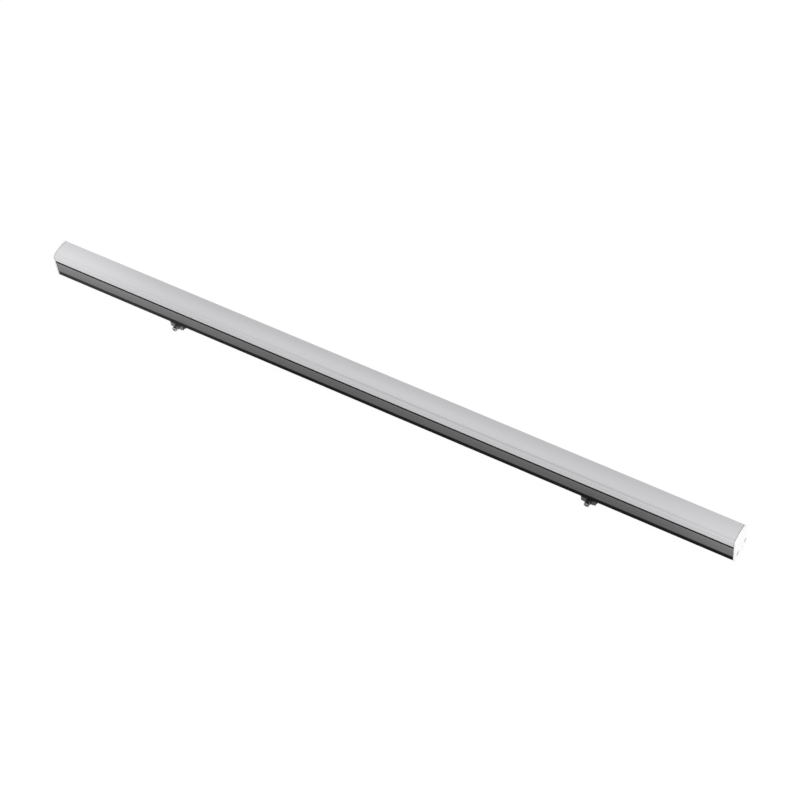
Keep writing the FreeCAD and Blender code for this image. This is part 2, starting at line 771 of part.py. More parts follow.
def make_cable_inlet():
    """Make the rubber grommet in the left cap and the ring that holds it from inside."""
    body = new_body("cable_grommet")
    outer = "(cable_radius + grommet_wall)"
    ring_end = f"({PLUG_END} - grommet_ring_depth)"
    tail_end = f"({ring_end} - grommet_tail)"
    flange_back = f"({CAP_FACE} - grommet_flange_depth)"
    turned_along_x(body, "grommet", "0", PORT_LEVEL, [
        (at(LEFT, CAP_FACE), "cable_radius"),
        (at(LEFT, tail_end), "cable_radius"),
        (at(LEFT, tail_end), outer),
        (at(LEFT, ring_end), f"({outer} + grommet_barb)"),
        (at(LEFT, ring_end), outer),
        (at(LEFT, flange_back), outer),
        (at(LEFT, flange_back), f"({outer} + grommet_flange)"),
        (at(LEFT, CAP_FACE), f"({outer} + grommet_flange)"),
    ])
    ring = new_body("grommet_ring")
    bore = f"({outer} + grommet_gap)"
    turned_along_x(ring, "ring", "0", PORT_LEVEL, [
        (at(LEFT, PLUG_END), bore),
        (at(LEFT, ring_end), bore),
        (at(LEFT, ring_end), f"({bore} + grommet_ring_wall)"),
        (at(LEFT, PLUG_END), f"({bore} + grommet_ring_wall)"),
    ])


# ---------------------------------------------------------------------------------------------------------
# Inside: LED boards and driver
# ---------------------------------------------------------------------------------------------------------

def make_led_board(side, name):
    """Make one of the two LED boards, drilled for its screws; the left one has the lead's slot."""
    body = new_body(f"led_board_{name}")
    near, far = "(board_split / 2)", BOARD_END
    first, last = (near, far) if side == RIGHT else (f"(-{far})", f"(-{near})")
    pad(body, "board", "XY_Plane", SHELF_TOP, "board_wall",
        box(first, f"(-{BOARD_SIDE})", last, BOARD_SIDE))
    hole = "(board_screw_radius + board_hole_gap)"
    places = [place for place in board_screw_places() if worth(place) * side > 0]
    drill(body, "screw_holes", "XY_Plane", SHELF_TOP, "board_wall",
          [(place, "0", hole) for place in places])
    if side == LEFT:
        cut(body, "lead_slot", "XY_Plane", SHELF_TOP, "board_wall", lead_slot())


def make_leds(side, name):
    """Make one board's row of LED packages, each with a shallow window."""
    body = new_body(f"leds_{name}", group=True)
    centre = "(led_pitch / 2)" if side == RIGHT else f"(led_pitch / 2 - {LED_COUNT} * led_pitch)"
    half_length, half_width = "(led_length / 2)", "(led_width / 2)"
    package = pad(body, "package", "XY_Plane", BOARD_TOP, "led_height",
                  box(f"({centre} - {half_length})", f"(-{half_width})",
                      f"({centre} + {half_length})", half_width))
    window = cut(body, "window", "XY_Plane", f"({BOARD_TOP} + led_height - led_well)", "led_well",
                 box(f"({centre} - {half_length} + led_rim)", f"(-{half_width} + led_rim)",
                     f"({centre} + {half_length} - led_rim)", f"({half_width} - led_rim)"))
    repeat_along_x(body, "row", [package, window], LED_COUNT, "led_pitch")


def make_board_link():
    """Make the connector that bridges the two LED boards, with a raised middle."""
    body = new_body("board_link")
    half, step = "(link_length / 2)", "(link_length / 2 - link_width / 2)"
    pad(body, "housing", "XZ_Plane", "(link_offset - link_width / 2)", "link_width", [
        (f"(-{half})", BOARD_TOP),
        (half, BOARD_TOP),
        (half, f"({BOARD_TOP} + link_height - link_step)"),
        (step, f"({BOARD_TOP} + link_height)"),
        (f"(-{step})", f"({BOARD_TOP} + link_height)"),
        (f"(-{half})", f"({BOARD_TOP} + link_height - link_step)"),
    ])


def make_board_screws():
    """Make the pan head screws that hold the LED boards to the shelf."""
    body = new_body("board_screws", group=True)
    farthest = f"(-board_screw_first - ({BOARD_SCREW_COUNT} - 1) * board_screw_pitch)"
    head_top = f"({BOARD_TOP} + board_screw_head_height)"
    screw = turned_upright(body, "screw", farthest, "0", [
        ("0", f"({BOARD_TOP} - board_screw_length)"),
        ("board_screw_radius", f"({BOARD_TOP} - board_screw_length)"),
        ("board_screw_radius", BOARD_TOP),
        ("board_screw_head_radius", BOARD_TOP),
        ("board_screw_head_radius", head_top),
        ("0", head_top),
    ])
    repeat_along_x(body, "row", [screw], BOARD_SCREW_COUNT, "board_screw_pitch")
    mirror_body(body, "both_boards", "YZ_Plane")


def make_driver_tray():
    """Make the insulating tray: a shallow trough with ledges that carry the driver board."""
    body = new_body("driver_tray")
    ledge = f"({TRAY_SIDE} - tray_wall)"
    pad(body, "trough", "YZ_Plane", TRAY_START, "tray_length", both_sides([
        (TRAY_SIDE, FLOOR_TOP),
        (TRAY_SIDE, f"({FLOOR_TOP} + tray_height)"),
        (ledge, f"({FLOOR_TOP} + tray_height)"),
        (ledge, DRIVER_FOOT),
        (f"({ledge} - tray_ledge)", DRIVER_FOOT),
        (f"({ledge} - tray_ledge)", f"({FLOOR_TOP} + tray_wall)"),
    ]))


def make_driver_board():
    """Make the driver's circuit board, on the tray's ledges."""
    body = new_body("driver_board")
    pad(body, "board", "XY_Plane", DRIVER_FOOT, "board_wall",
        box(f"({TRAY_START} + driver_margin)", f"(-{DRIVER_SIDE})",
            f"({TRAY_START} + tray_length - driver_margin)", DRIVER_SIDE))


def make_terminal_block():
    """Make the supply terminal: a stepped block with three wire entries that face the cable inlet."""
    body = new_body("terminal_block")
    middle = f"({TRAY_START} + terminal_place)"
    start = f"({middle} - terminal_length / 2)"
    end = f"({middle} + terminal_length / 2)"
    top = f"({DRIVER_TOP} + terminal_height)"
    ledge = f"({DRIVER_TOP} + terminal_height / 2 + terminal_entry)"
    pad(body, "block", "XZ_Plane", "(-terminal_width / 2)", "terminal_width", [
        (start, DRIVER_TOP),
        (end, DRIVER_TOP),
        (end, top),
        (middle, top),
        (start, ledge),
    ])
    third = "(terminal_width / 3)"
    drill(body, "entries", "YZ_Plane", start, "terminal_entry_depth",
          [(f"({step} * {third})", f"({DRIVER_TOP} + terminal_entry_level)", "terminal_entry")
           for step in (-1, 0, 1)])


def make_line_choke():
    """Make the drum choke: two flanges with a waist of winding between them."""
    body = new_body("line_choke")
    top = f"({DRIVER_TOP} + choke_height)"
    turned_upright(body, "drum", f"({TRAY_START} + choke_place)", "0", [
        ("0", DRIVER_TOP),
        ("choke_radius", DRIVER_TOP),
        ("choke_radius", f"({DRIVER_TOP} + choke_flange)"),
        ("choke_waist", f"({DRIVER_TOP} + choke_flange)"),
        ("choke_waist", f"({top} - choke_flange)"),
        ("choke_radius", f"({top} - choke_flange)"),
        ("choke_radius", top),
        ("0", top),
    ])


def make_rectifier():
    """Make the bridge rectifier: a moulded block with a bevelled end."""
    body = new_body("rectifier")
    start = f"({TRAY_START} + rectifier_place - rectifier_length / 2)"
    end = f"({TRAY_START} + rectifier_place + rectifier_length / 2)"
    top = f"({DRIVER_TOP} + rectifier_height)"
    pad(body, "block", "XZ_Plane", "(-rectifier_width / 2)", "rectifier_width", [
        (start, DRIVER_TOP),
        (end, DRIVER_TOP),
        (end, top),
        (f"({start} + rectifier_bevel)", top),
        (start, f"({top} - rectifier_bevel)"),
    ])


def make_capacitors():
    """Make the two capacitors: a large can that lies along the board and a small one that stands."""
    body = new_body("capacitors", group=True)
    start = f"({TRAY_START} + bulk_place - bulk_length / 2)"
    end = f"({TRAY_START} + bulk_place + bulk_length / 2)"
    turned_along_x(body, "bulk", "0", f"({DRIVER_TOP} + bulk_radius)", [
        (start, "0"),
        (end, "0"),
        (end, "(bulk_radius - can_edge)"),
        (f"({end} - can_edge)", "bulk_radius"),
        (f"({start} + can_edge)", "bulk_radius"),
        (start, "(bulk_radius - can_edge)"),
    ])
    top = f"({DRIVER_TOP} + output_height)"
    turned_upright(body, "output", f"({TRAY_START} + output_place)", "0", [
        ("0", DRIVER_TOP),
        ("output_radius", DRIVER_TOP),
        ("output_radius", f"({top} - can_edge)"),
        ("(output_radius - can_edge)", top),
        ("0", top),
    ])


def make_transformer():
    """Make the transformer: a core with two flanges and a narrower winding between them."""
    body = new_body("transformer")
    start = f"({TRAY_START} + transformer_place - transformer_length / 2)"
    end = f"({TRAY_START} + transformer_place + transformer_length / 2)"
    side = "(transformer_width / 2)"
    waist = f"({side} - winding_inset)"
    pad(body, "core", "XY_Plane", DRIVER_TOP, "transformer_height", [
        (start, f"(-{side})"),
        (f"({start} + core_flange)", f"(-{side})"),
        (f"({start} + core_flange)", f"(-{waist})"),
        (f"({end} - core_flange)", f"(-{waist})"),
        (f"({end} - core_flange)", f"(-{side})"),
        (end, f"(-{side})"),
        (end, side),
        (f"({end} - core_flange)", side),
        (f"({end} - core_flange)", waist),
        (f"({start} + core_flange)", waist),
        (f"({start} + core_flange)", side),
        (start, side),
    ])


def make_output_lead():
    """Make the flat lead that rises from the driver, steps over and goes up through the shelf's slot."""
    body = new_body("output_lead")
    half = "(lead_wall / 2)"
    inner, outer = f"(lead_bend - {half})", f"(lead_bend + {half})"
    level = f"({DRIVER_TOP} + lead_level)"
    low, high = f"({level} - lead_bend)", f"({level} + lead_bend)"
    top = f"({BOARD_TOP} + lead_stub)"
    start, end = f"({LEAD_END} - lead_run)", LEAD_END
    pad(body, "strip", "XZ_Plane", "(-lead_offset - lead_width / 2)", "lead_width", [
        (f"({start} + {half})", DRIVER_TOP),
        (f"({start} + {half})", low, Arc(inner, turns_left=False)),
        (f"({start} + lead_bend)", f"({level} - {half})"),
        (f"({end} - lead_bend)", f"({level} - {half})", Arc(outer)),
        (f"({end} + {half})", high),
        (f"({end} + {half})", top),
        (f"({end} - {half})", top),
        (f"({end} - {half})", high, Arc(inner, turns_left=False)),
        (f"({end} - lead_bend)", f"({level} + {half})"),
        (f"({start} + lead_bend)", f"({level} + {half})", Arc(outer)),
        (f"({start} - {half})", low),
        (f"({start} - {half})", DRIVER_TOP),
    ])


# ---------------------------------------------------------------------------------------------------------
# Clamp clips
# ---------------------------------------------------------------------------------------------------------

def clip_place(side):
    """Return a clip's middle along X: the pair stands a little to the left of the bar's middle."""
    return f"({at(side, '(clip_spacing / 2)')} + clip_shift)"


def screw_place(side):
    """Return a clamp screw's place along X: a little to the right of its clip's middle."""
    return f"({clip_place(side)} + clamp_offset)"


def make_clip_base(side, name):
    """Make a clip's base: a floor plate, the fixed rear jaw and a toe on which the front jaw slides."""
    body = new_body(f"clip_base_{name}")
    middle = clip_place(side)
    start = f"({middle} - clip_width / 2)"
    floor_front = f"(-{JAW_BACK} + floor_gap)"
    pad(body, "jaw", "YZ_Plane", start, "clip_width", [
        (floor_front, "0"),
        (JAW_FACE, "0"),
        (JAW_FACE, f"({LIP_TOP} - jaw_edge)", Arc("jaw_edge")),
        (f"({JAW_FACE} - jaw_edge)", LIP_TOP),
        (LIP_TIP, LIP_TOP),
        (LIP_TIP, LIP_FOOT),
        (JAW_BACK, LIP_FOOT),
        (JAW_BACK, "clip_floor"),
        (floor_front, "clip_floor"),
    ])
    toe_front = f"(-{JAW_FACE} + toe_setback)"
    pad(body, "toe", "XY_Plane", "0", "toe_wall",
        box(f"({middle} - toe_width / 2)", toe_front, f"({middle} + toe_width / 2)", floor_front))
    bore = "(clamp_radius + clamp_hole_gap)"
    drill(body, "screw_hole", "XZ_Plane", f"(-{JAW_FACE})", "jaw_wall",
          [(screw_place(side), "clamp_height", bore)])
    cut_fixing_hole(body, f"({middle} - fixing_offset)")


def cut_fixing_hole(body, place):
    """Cut the countersunk hole through which a screw fastens a clip to a wall."""
    before = body.Shape.Volume
    sketch = new_sketch(body, "fixing_section", "XZ_Plane", across=place)
    cylinder_top = "(clip_floor - fixing_sink_radius + fixing_radius)"
    draw(sketch, [
        ("0", "0"),
        ("fixing_radius", "0"),
        ("fixing_radius", cylinder_top),
        ("fixing_sink_radius", "clip_floor"),
        ("0", "clip_floor"),
    ])
    feature = body.newObject("PartDesign::Groove", "fixing_hole")
    feature.Profile = sketch
    feature.ReferenceAxis = (sketch, ["V_Axis"])
    feature.Angle = 360
    checked_cut(body, feature, before)


def make_clip_jaw(side, name):
    """Make a front jaw: a plate with rounded lower corners, a lip over the rail and a boss for the screw."""
    body = new_body(f"clip_jaw_{name}")
    middle = clip_place(side)
    foot = "(toe_wall + toe_gap)"
    pad(body, "plate", "YZ_Plane", f"({middle} - clip_width / 2)", "clip_width", [
        (f"(-{JAW_FACE})", foot),
        (f"(-{JAW_BACK})", foot),
        (f"(-{JAW_BACK})", LIP_FOOT),
        (f"(-{LIP_TIP})", LIP_FOOT),
        (f"(-{LIP_TIP})", LIP_TOP),
        (f"(-{JAW_FACE} + jaw_edge)", LIP_TOP, Arc("jaw_edge")),
        (f"(-{JAW_FACE})", f"({LIP_TOP} - jaw_edge)"),
    ])
    low = worth(foot)
    dress(body, "PartDesign::Fillet", "lower_corners", "Radius", "jaw_corner",
          lambda edge: edge.BoundBox.ZMax < low + 1e-4 and edge.BoundBox.XLength < 1e-4)
    boss = new_sketch(body, "boss_outline", "XZ_Plane", out=JAW_FACE)
    draw_circle(boss, screw_place(side), "clamp_height", "boss_radius")
    pad_sketch(body, "boss", boss, "boss_height")
    bore = "(clamp_radius + clamp_hole_gap)"
    drill(body, "screw_hole", "XZ_Plane", JAW_BACK, f"({BOSS_FACE} - {JAW_BACK})",
          [(screw_place(side), "clamp_height", bore)])


def make_washers(side, name):
    """Make the flat washer on a jaw's boss and the split spring washer on it."""
    bore = "(clamp_radius + clamp_hole_gap)"
    flat = new_body(f"flat_washer_{name}")
    turned_along_y(flat, "ring", screw_place(side), "clamp_height", [
        (BOSS_FACE, bore),
        (WASHER_FACE, bore),
        (WASHER_FACE, "flat_washer_radius"),
        (BOSS_FACE, "flat_washer_radius"),
    ])
    spring = new_body(f"spring_washer_{name}")
    turned_along_y(spring, "ring", screw_place(side), "clamp_height", [
        (WASHER_FACE, bore),
        (SPRING_FACE, bore),
        (SPRING_FACE, "spring_washer_radius"),
        (WASHER_FACE, "spring_washer_radius"),
    ])
    centre, slit = screw_place(side), "(spring_washer_slit / 2)"
    cut(spring, "slit", "XZ_Plane", WASHER_FACE, "spring_washer_wall",
        box(f"({centre} - {slit})", "clamp_height",
            f"({centre} + {slit})", "(clamp_height + spring_washer_radius + spring_washer_slit)"))


def make_clamp_screw(side, name):
    """Make a clamp screw: a socket head in front and a shank that reaches through the nut behind."""
    body = new_body(f"clamp_screw_{name}")
    turned_along_y(body, "screw", screw_place(side), "clamp_height", [
        (f"(-{SCREW_TIP})", "0"),
        (HEAD_FACE, "0"),
        (HEAD_FACE, "(clamp_head_radius - clamp_head_edge)"),
        (f"({HEAD_FACE} - clamp_head_edge)", "clamp_head_radius"),
        (HEAD_BACK, "clamp_head_radius"),
        (HEAD_BACK, "clamp_radius"),
        (f"(-{SCREW_TIP} + clamp_head_edge)", "clamp_radius"),
        (f"(-{SCREW_TIP})", "(clamp_radius - clamp_head_edge)"),
    ])
    cut(body, "socket", "XZ_Plane", f"({HEAD_FACE} - clamp_socket_depth)", "clamp_socket_depth",
        hexagon(screw_place(side), "clamp_height", "clamp_socket"))


def make_clip_nut(side, name):
    """Make the hexagon nut that sits behind a clip's rear jaw, with its outer corners bevelled."""
    body = new_body(f"clip_nut_{name}")
    pad(body, "nut", "XZ_Plane", f"(-{NUT_FACE})", "nut_height",
        hexagon(screw_place(side), "clamp_height", "nut_across"))
    face = worth(NUT_FACE)
    dress(body, "PartDesign::Chamfer", "corners", "Size", "nut_edge",
          lambda edge: edge.BoundBox.YMin > face - 1e-4)
    drill(body, "thread", "XZ_Plane", f"(-{NUT_FACE})", "nut_height",
          [(screw_place(side), "clamp_height", "(clamp_radius + clamp_thread_gap)")])


# ---------------------------------------------------------------------------------------------------------
# The whole light
# ---------------------------------------------------------------------------------------------------------

def make_light():
    """Make every sub-part."""
    make_base_extrusion()
    make_diffuser()
    make_seals()
    make_cable_inlet()
    make_board_link()
    make_board_screws()
    make_driver_tray()
    make_driver_board()
    make_terminal_block()
    make_line_choke()
    make_rectifier()
    make_capacitors()
    make_transformer()
    make_output_lead()
    for side, name in SIDES:
        make_end_cap(side, name)
        make_end_gasket(side, name)
        make_cap_screws(side, name)
        make_led_board(side, name)
        make_leds(side, name)
        make_clip_base(side, name)
        make_clip_jaw(side, name)
        make_washers(side, name)
        make_clamp_screw(side, name)
        make_clip_nut(side, name)


def check_document():
    """Stop if any object failed or any sub-part's shape is empty or faulty."""
    document.recompute()
    for thing in document.Objects:
        if {"Invalid", "Error"} & set(thing.State):
            raise RuntimeError(f"{thing.Label} failed: {thing.State}")
    for body in sub_parts():
        if body.Shape.isNull() or not body.Shape.isValid() or not body.Shape.Solids:
            raise RuntimeError(f"{body.Label} has no valid solid")


def sub_parts():
    """Return the bodies, one for each sub-part."""
    return [thing for thing in document.Objects if thing.TypeId == "PartDesign::Body"]


def write_parts():
    """Write each sub-part to its own STEP file."""
    os.makedirs("parts", exist_ok=True)
    for body in sub_parts():
        body.Shape.exportStep(f"parts/{body.Label}.step")
        print(f"{body.Label}: {len(body.Shape.Solids)} solid(s), {body.Shape.Volume:.1f} mm3")


fill_sheet()
make_light()
check_document()
write_parts()
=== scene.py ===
"""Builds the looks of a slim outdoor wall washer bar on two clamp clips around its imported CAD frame.

Everything is in metres in the CAD frame: +X along the bar, -Y to the clamp screws' heads,
+Z up through the cover.
"""
from __future__ import annotations

import logging  # noqa: E402
import math  # noqa: E402
from dataclasses import dataclass, field, replace  # noqa: E402
from enum import Enum  # noqa: E402
from typing import Any, Callable, Iterable, Mapping, Sequence, Union  # noqa: E402

import bmesh  # noqa: E402
import bpy  # noqa: E402
from mathutils import Matrix, Vector  # noqa: E402


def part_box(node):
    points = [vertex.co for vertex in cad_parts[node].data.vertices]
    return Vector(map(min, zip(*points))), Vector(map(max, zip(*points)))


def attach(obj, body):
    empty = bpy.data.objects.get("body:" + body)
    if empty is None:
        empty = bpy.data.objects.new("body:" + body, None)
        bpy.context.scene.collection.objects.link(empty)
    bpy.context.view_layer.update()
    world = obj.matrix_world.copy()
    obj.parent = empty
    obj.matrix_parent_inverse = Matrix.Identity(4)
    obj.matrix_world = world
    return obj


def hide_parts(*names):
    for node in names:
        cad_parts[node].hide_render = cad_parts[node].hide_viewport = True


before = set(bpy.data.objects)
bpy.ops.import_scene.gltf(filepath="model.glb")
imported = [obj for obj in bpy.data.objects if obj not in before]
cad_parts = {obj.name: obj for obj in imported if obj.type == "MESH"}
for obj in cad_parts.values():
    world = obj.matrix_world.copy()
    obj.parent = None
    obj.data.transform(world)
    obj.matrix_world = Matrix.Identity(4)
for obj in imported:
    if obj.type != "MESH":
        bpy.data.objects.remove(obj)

LOG = logging.getLogger("wall_washer")
MM = 0.001

Colour = tuple[float, float, float]
Point = tuple[float, float, float]

WHITE: Colour = (1.0, 1.0, 1.0)
MERGE_REACH = 1e-6  # metres; points closer than this are one
FLAT_ANGLE = 0.01  # radians; faces that meet at less than this lie in one plane
SHARP_ANGLE = 0.6
SMOOTH_ANGLE = 0.75


class Side(Enum):
    """The two ends of the bar, with the sign of X at each."""

    LEFT = -1
    RIGHT = 1

    @property
    def word(self) -> str:
        """Return the side's name as the CAD nodes write it."""
        return self.name.lower()


class Axis(Enum):
    """Which way a turned piece's head looks, as the turn from +Z to there."""

    UP = (0.0, 0.0, 0.0)
    FRONT = (math.pi / 2, 0.0, 0.0)
    LEFT = (0.0, -math.pi / 2, 0.0)
    RIGHT = (0.0, math.pi / 2, 0.0)


# ---------------------------------------------------------------------------------------------------------
# Node trees
# ---------------------------------------------------------------------------------------------------------

def math_operator(operation: str, reflected: bool = False) -> Callable[[Signal, Value], Signal]:
    """Return a method of Signal that adds a Math node.

    Args:
        operation: The node's operation.
        reflected: Whether the signal is the second term.

    Returns:
        The method.
    """
    def method(self: Signal, other: Value) -> Signal:
        """Return the node's output."""
        terms = (other, self) if reflected else (self, other)
        return self.graph.math(operation, *terms)

    return method


class Signal:
    """A node's output; arithmetic on it adds Math nodes to its tree."""

    def __init__(self, graph: Graph, socket: bpy.types.NodeSocket) -> None:
        """Keep the tree and the socket."""
        self.graph = graph
        self.socket = socket

    __add__ = math_operator("ADD")
    __radd__ = math_operator("ADD", reflected=True)
    __sub__ = math_operator("SUBTRACT")
    __rsub__ = math_operator("SUBTRACT", reflected=True)
    __mul__ = math_operator("MULTIPLY")
    __rmul__ = math_operator("MULTIPLY", reflected=True)
    __truediv__ = math_operator("DIVIDE")
    __rtruediv__ = math_operator("DIVIDE", reflected=True)
    __mod__ = math_operator("FLOORED_MODULO")

    def __abs__(self) -> Signal:
        """Return self without its sign."""
        return self.graph.math("ABSOLUTE", self)

    def __neg__(self) -> Signal:
        """Return self with its sign turned."""
        return self.graph.math("MULTIPLY", self, -1.0)

    def above(self, level: float, blur: float) -> Signal:
        """Return 0 below a level and 1 above it, with a soft step of the given width."""
        return self.graph.step(self, level - blur / 2, level + blur / 2)

    def near(self, level: float, reach: float) -> Signal:
        """Return 1 at a level, falling smoothly to 0 at a reach on both sides of it."""
        return 1.0 - self.graph.step(abs(self - level), 0.0, reach)


Value = Union[Signal, float]
Setting = Mapping[str, Any]
Inputs = Mapping[Union[str, int], Any]


class Graph:
    """A shader or geometry tree that is filled one node at a time."""

    def __init__(self, tree: bpy.types.NodeTree) -> None:
        """Keep the tree."""
        self.tree = tree

    def node(self, kind: str, settings: Setting | None = None,
             values: Inputs | None = None) -> bpy.types.Node:
        """Add a node.

        Args:
            kind: The node's type.
            settings: Its own properties, set before its sockets.
            values: What each input socket gets, by name or number: a Signal to link, or a plain value.

        Returns:
            The new node.
        """
        made = self.tree.nodes.new(kind)
        for name, value in (settings or {}).items():
            setattr(made, name, value)
        for key, value in (values or {}).items():
            if isinstance(key, int):
                socket = made.inputs[key]
            else:
                socket = next(s for s in made.inputs if s.name == key and s.enabled)
            if isinstance(value, Signal):
                self.tree.links.new(value.socket, socket)
            else:
                socket.default_value = value
        return made

    def signal(self, kind: str, settings: Setting | None = None, values: Inputs | None = None,
               output: str | None = None) -> Signal:
        """Add a node and take one of its outputs.

        Args:
            kind: The node's type.
            settings: Its own properties.
            values: What its input sockets get.
            output: The output's name; the first one in use if left out.

        Returns:
            That output.
        """
        made = self.node(kind, settings, values)
        sockets = [s for s in made.outputs if s.enabled and output in (None, s.name)]
        return Signal(self, sockets[0])

    def math(self, operation: str, *terms: Value) -> Signal:
        """Return a Math node's output for the given terms."""
        return self.signal("ShaderNodeMath", {"operation": operation}, dict(enumerate(terms)))

    def step(self, value: Signal, low: float, high: float) -> Signal:
        """Return a smooth step from 0 at low to 1 at high."""
        return self.signal("ShaderNodeMapRange", {"interpolation_type": "SMOOTHSTEP"},
                           {"Value": value, "From Min": low, "From Max": high})

    def axes(self, vector: Signal) -> tuple[Signal, Signal, Signal]:
        """Return a vector's X, Y and Z."""
        made = self.node("ShaderNodeSeparateXYZ", values={"Vector": vector})
        x, y, z = (Signal(self, socket) for socket in made.outputs)
        return x, y, z

    def vector(self, x: Value, y: Value, z: Value) -> Signal:
        """Return a vector with the given parts."""
        return self.signal("ShaderNodeCombineXYZ", values={"X": x, "Y": y, "Z": z})


class Surface(Graph):
    """The shader tree of one material, with the patterns that the finishes share."""

    def __init__(self, name: str) -> None:
        """Make a material with an empty tree.

        Args:
            name: The finish's name.
        """
        self.material = bpy.data.materials.new(self.title(name))
        self.material.use_nodes = True
        self.material.node_tree.nodes.clear()
        super().__init__(self.material.node_tree)
        coordinates = self.node("ShaderNodeTexCoord")
        self.place = Signal(self, coordinates.outputs["Object"])
        self.facing = Signal(self, coordinates.outputs["Normal"])

    @staticmethod
    def title(name: str) -> str:
        """Return the material's name for a finish, apart from those that came with the frame."""
        return f"{name}_finish"

    def scaled(self, scale: Point, centre: Point = (0.0, 0.0, 0.0)) -> Signal:
        """Return the place on the piece, counted from a centre and stretched by a scale per axis.

        Args:
            scale: The factor along each axis.
            centre: The point that becomes the origin.

        Returns:
            The mapped place.
        """
        shift = tuple(-c * s for c, s in zip(centre, scale))
        return self.signal("ShaderNodeMapping",
                           values={"Vector": self.place, "Location": shift, "Scale": scale})

    def noise(self, vector: Signal, scale: float = 1.0, detail: float = 2.0, rough: float = 0.5) -> Signal:
        """Return soft noise around 0.5.

        Args:
            vector: Where it is read.
            scale: How many cells there are to a unit.
            detail: How many finer layers are added.
            rough: How strong the finer layers are.

        Returns:
            The noise's value.
        """
        return self.signal("ShaderNodeTexNoise", {"noise_dimensions": "3D"},
                           {"Vector": vector, "Scale": scale, "Detail": detail, "Roughness": rough},
                           output="Fac")

    def specks(self, scale: float, share: float) -> Signal:
        """Return 1 on small round specks.

        Args:
            scale: How many cells there are to a metre.
            share: The specks' radius as a share of a cell.

        Returns:
            The mask.
        """
        distance = self.signal("ShaderNodeTexVoronoi", {"feature": "F1"},
                               {"Vector": self.place, "Scale": scale, "Randomness": 1.0}, output="Distance")
        return 1.0 - self.step(distance, share * 0.6, share)

    def mix(self, factor: Value, first: Signal | Colour, second: Signal | Colour) -> Signal:
        """Return the first colour where the factor is 0 and the second where it is 1."""
        plain = [c if isinstance(c, Signal) else (*c, 1.0) for c in (first, second)]
        return self.signal("ShaderNodeMix", {"data_type": "RGBA"},
                           {"Factor": factor, "A": plain[0], "B": plain[1]})

    def shade(self, colour: Signal | Colour, amount: Signal) -> Signal:
        """Return a colour times a grey amount.

        Args:
            colour: The colour.
            amount: What each of its parts is multiplied by.

        Returns:
            The shaded colour.
        """
        grey = self.signal("ShaderNodeCombineColor", values={"Red": amount, "Green": amount, "Blue": amount})
        plain = colour if isinstance(colour, Signal) else (*colour, 1.0)
        return self.signal("ShaderNodeMix", {"data_type": "RGBA", "blend_type": "MULTIPLY"},
                           {"Factor": 1.0, "A": plain, "B": grey})

    def bump(self, height: Signal, depth: float, below: Signal | None = None) -> Signal:
        """Return a normal that is tilted by a height.

        Args:
            height: The height, from 0 to 1.
            depth: What a height of 1 is, in metres.
            below: The normal of a coarser relief underneath.

        Returns:
            The normal.
        """
        values: dict[str, Any] = {"Height": height, "Distance": depth, "Strength": 1.0}
        if below is not None:
            values["Normal"] = below
        return self.signal("ShaderNodeBump", values=values)

    def flag(self, name: str) -> Signal:
        """Return one of the mesh's own attributes."""
        return self.signal("ShaderNodeAttribute", {"attribute_name": name}, output="Fac")

    def rings(self, centre: Point, axis: Axis) -> Signal:
        """Return the distance from a turned piece's axis.

        Args:
            centre: A point of the axis.
            axis: The way the axis runs.

        Returns:
            The distance in metres.
        """
        x, y, z = self.axes(self.scaled((1.0, 1.0, 1.0), centre))
        first, second = {Axis.UP: (x, y), Axis.FRONT: (x, z)}.get(axis, (y, z))
        return self.math("SQRT", first * first + second * second)

    def finish(self, **values: Any) -> bpy.types.Material:
        """Close the tree with a Principled shader.

        Args:
            **values: Its sockets, with _ for each space of their names.

        Returns:
            The finished material.
        """
        sockets = {name.replace("_", " "): value for name, value in values.items()}
        for name, value in sockets.items():
            if isinstance(value, tuple) and len(value) == 3 and name == "Base Color":
                sockets[name] = (*value, 1.0)
        shader = self.signal("ShaderNodeBsdfPrincipled", values=sockets)
        self.node("ShaderNodeOutputMaterial", values={"Surface": shader})
        return self.material


# ---------------------------------------------------------------------------------------------------------
# Finishes
# ---------------------------------------------------------------------------------------------------------

@dataclass(frozen=True)
class Finish:
    """What every finish has: a name, a colour and a roughness."""

    name: str
    colour: Colour
    roughness: float

    def build(self) -> bpy.types.Material:
        """Return the material; each kind of finish makes its own."""
        raise NotImplementedError

    def material(self) -> bpy.types.Material:
        """Return the finish's material, which is made the first time."""
        return bpy.data.materials.get(Surface.title(self.name)) or self.build()


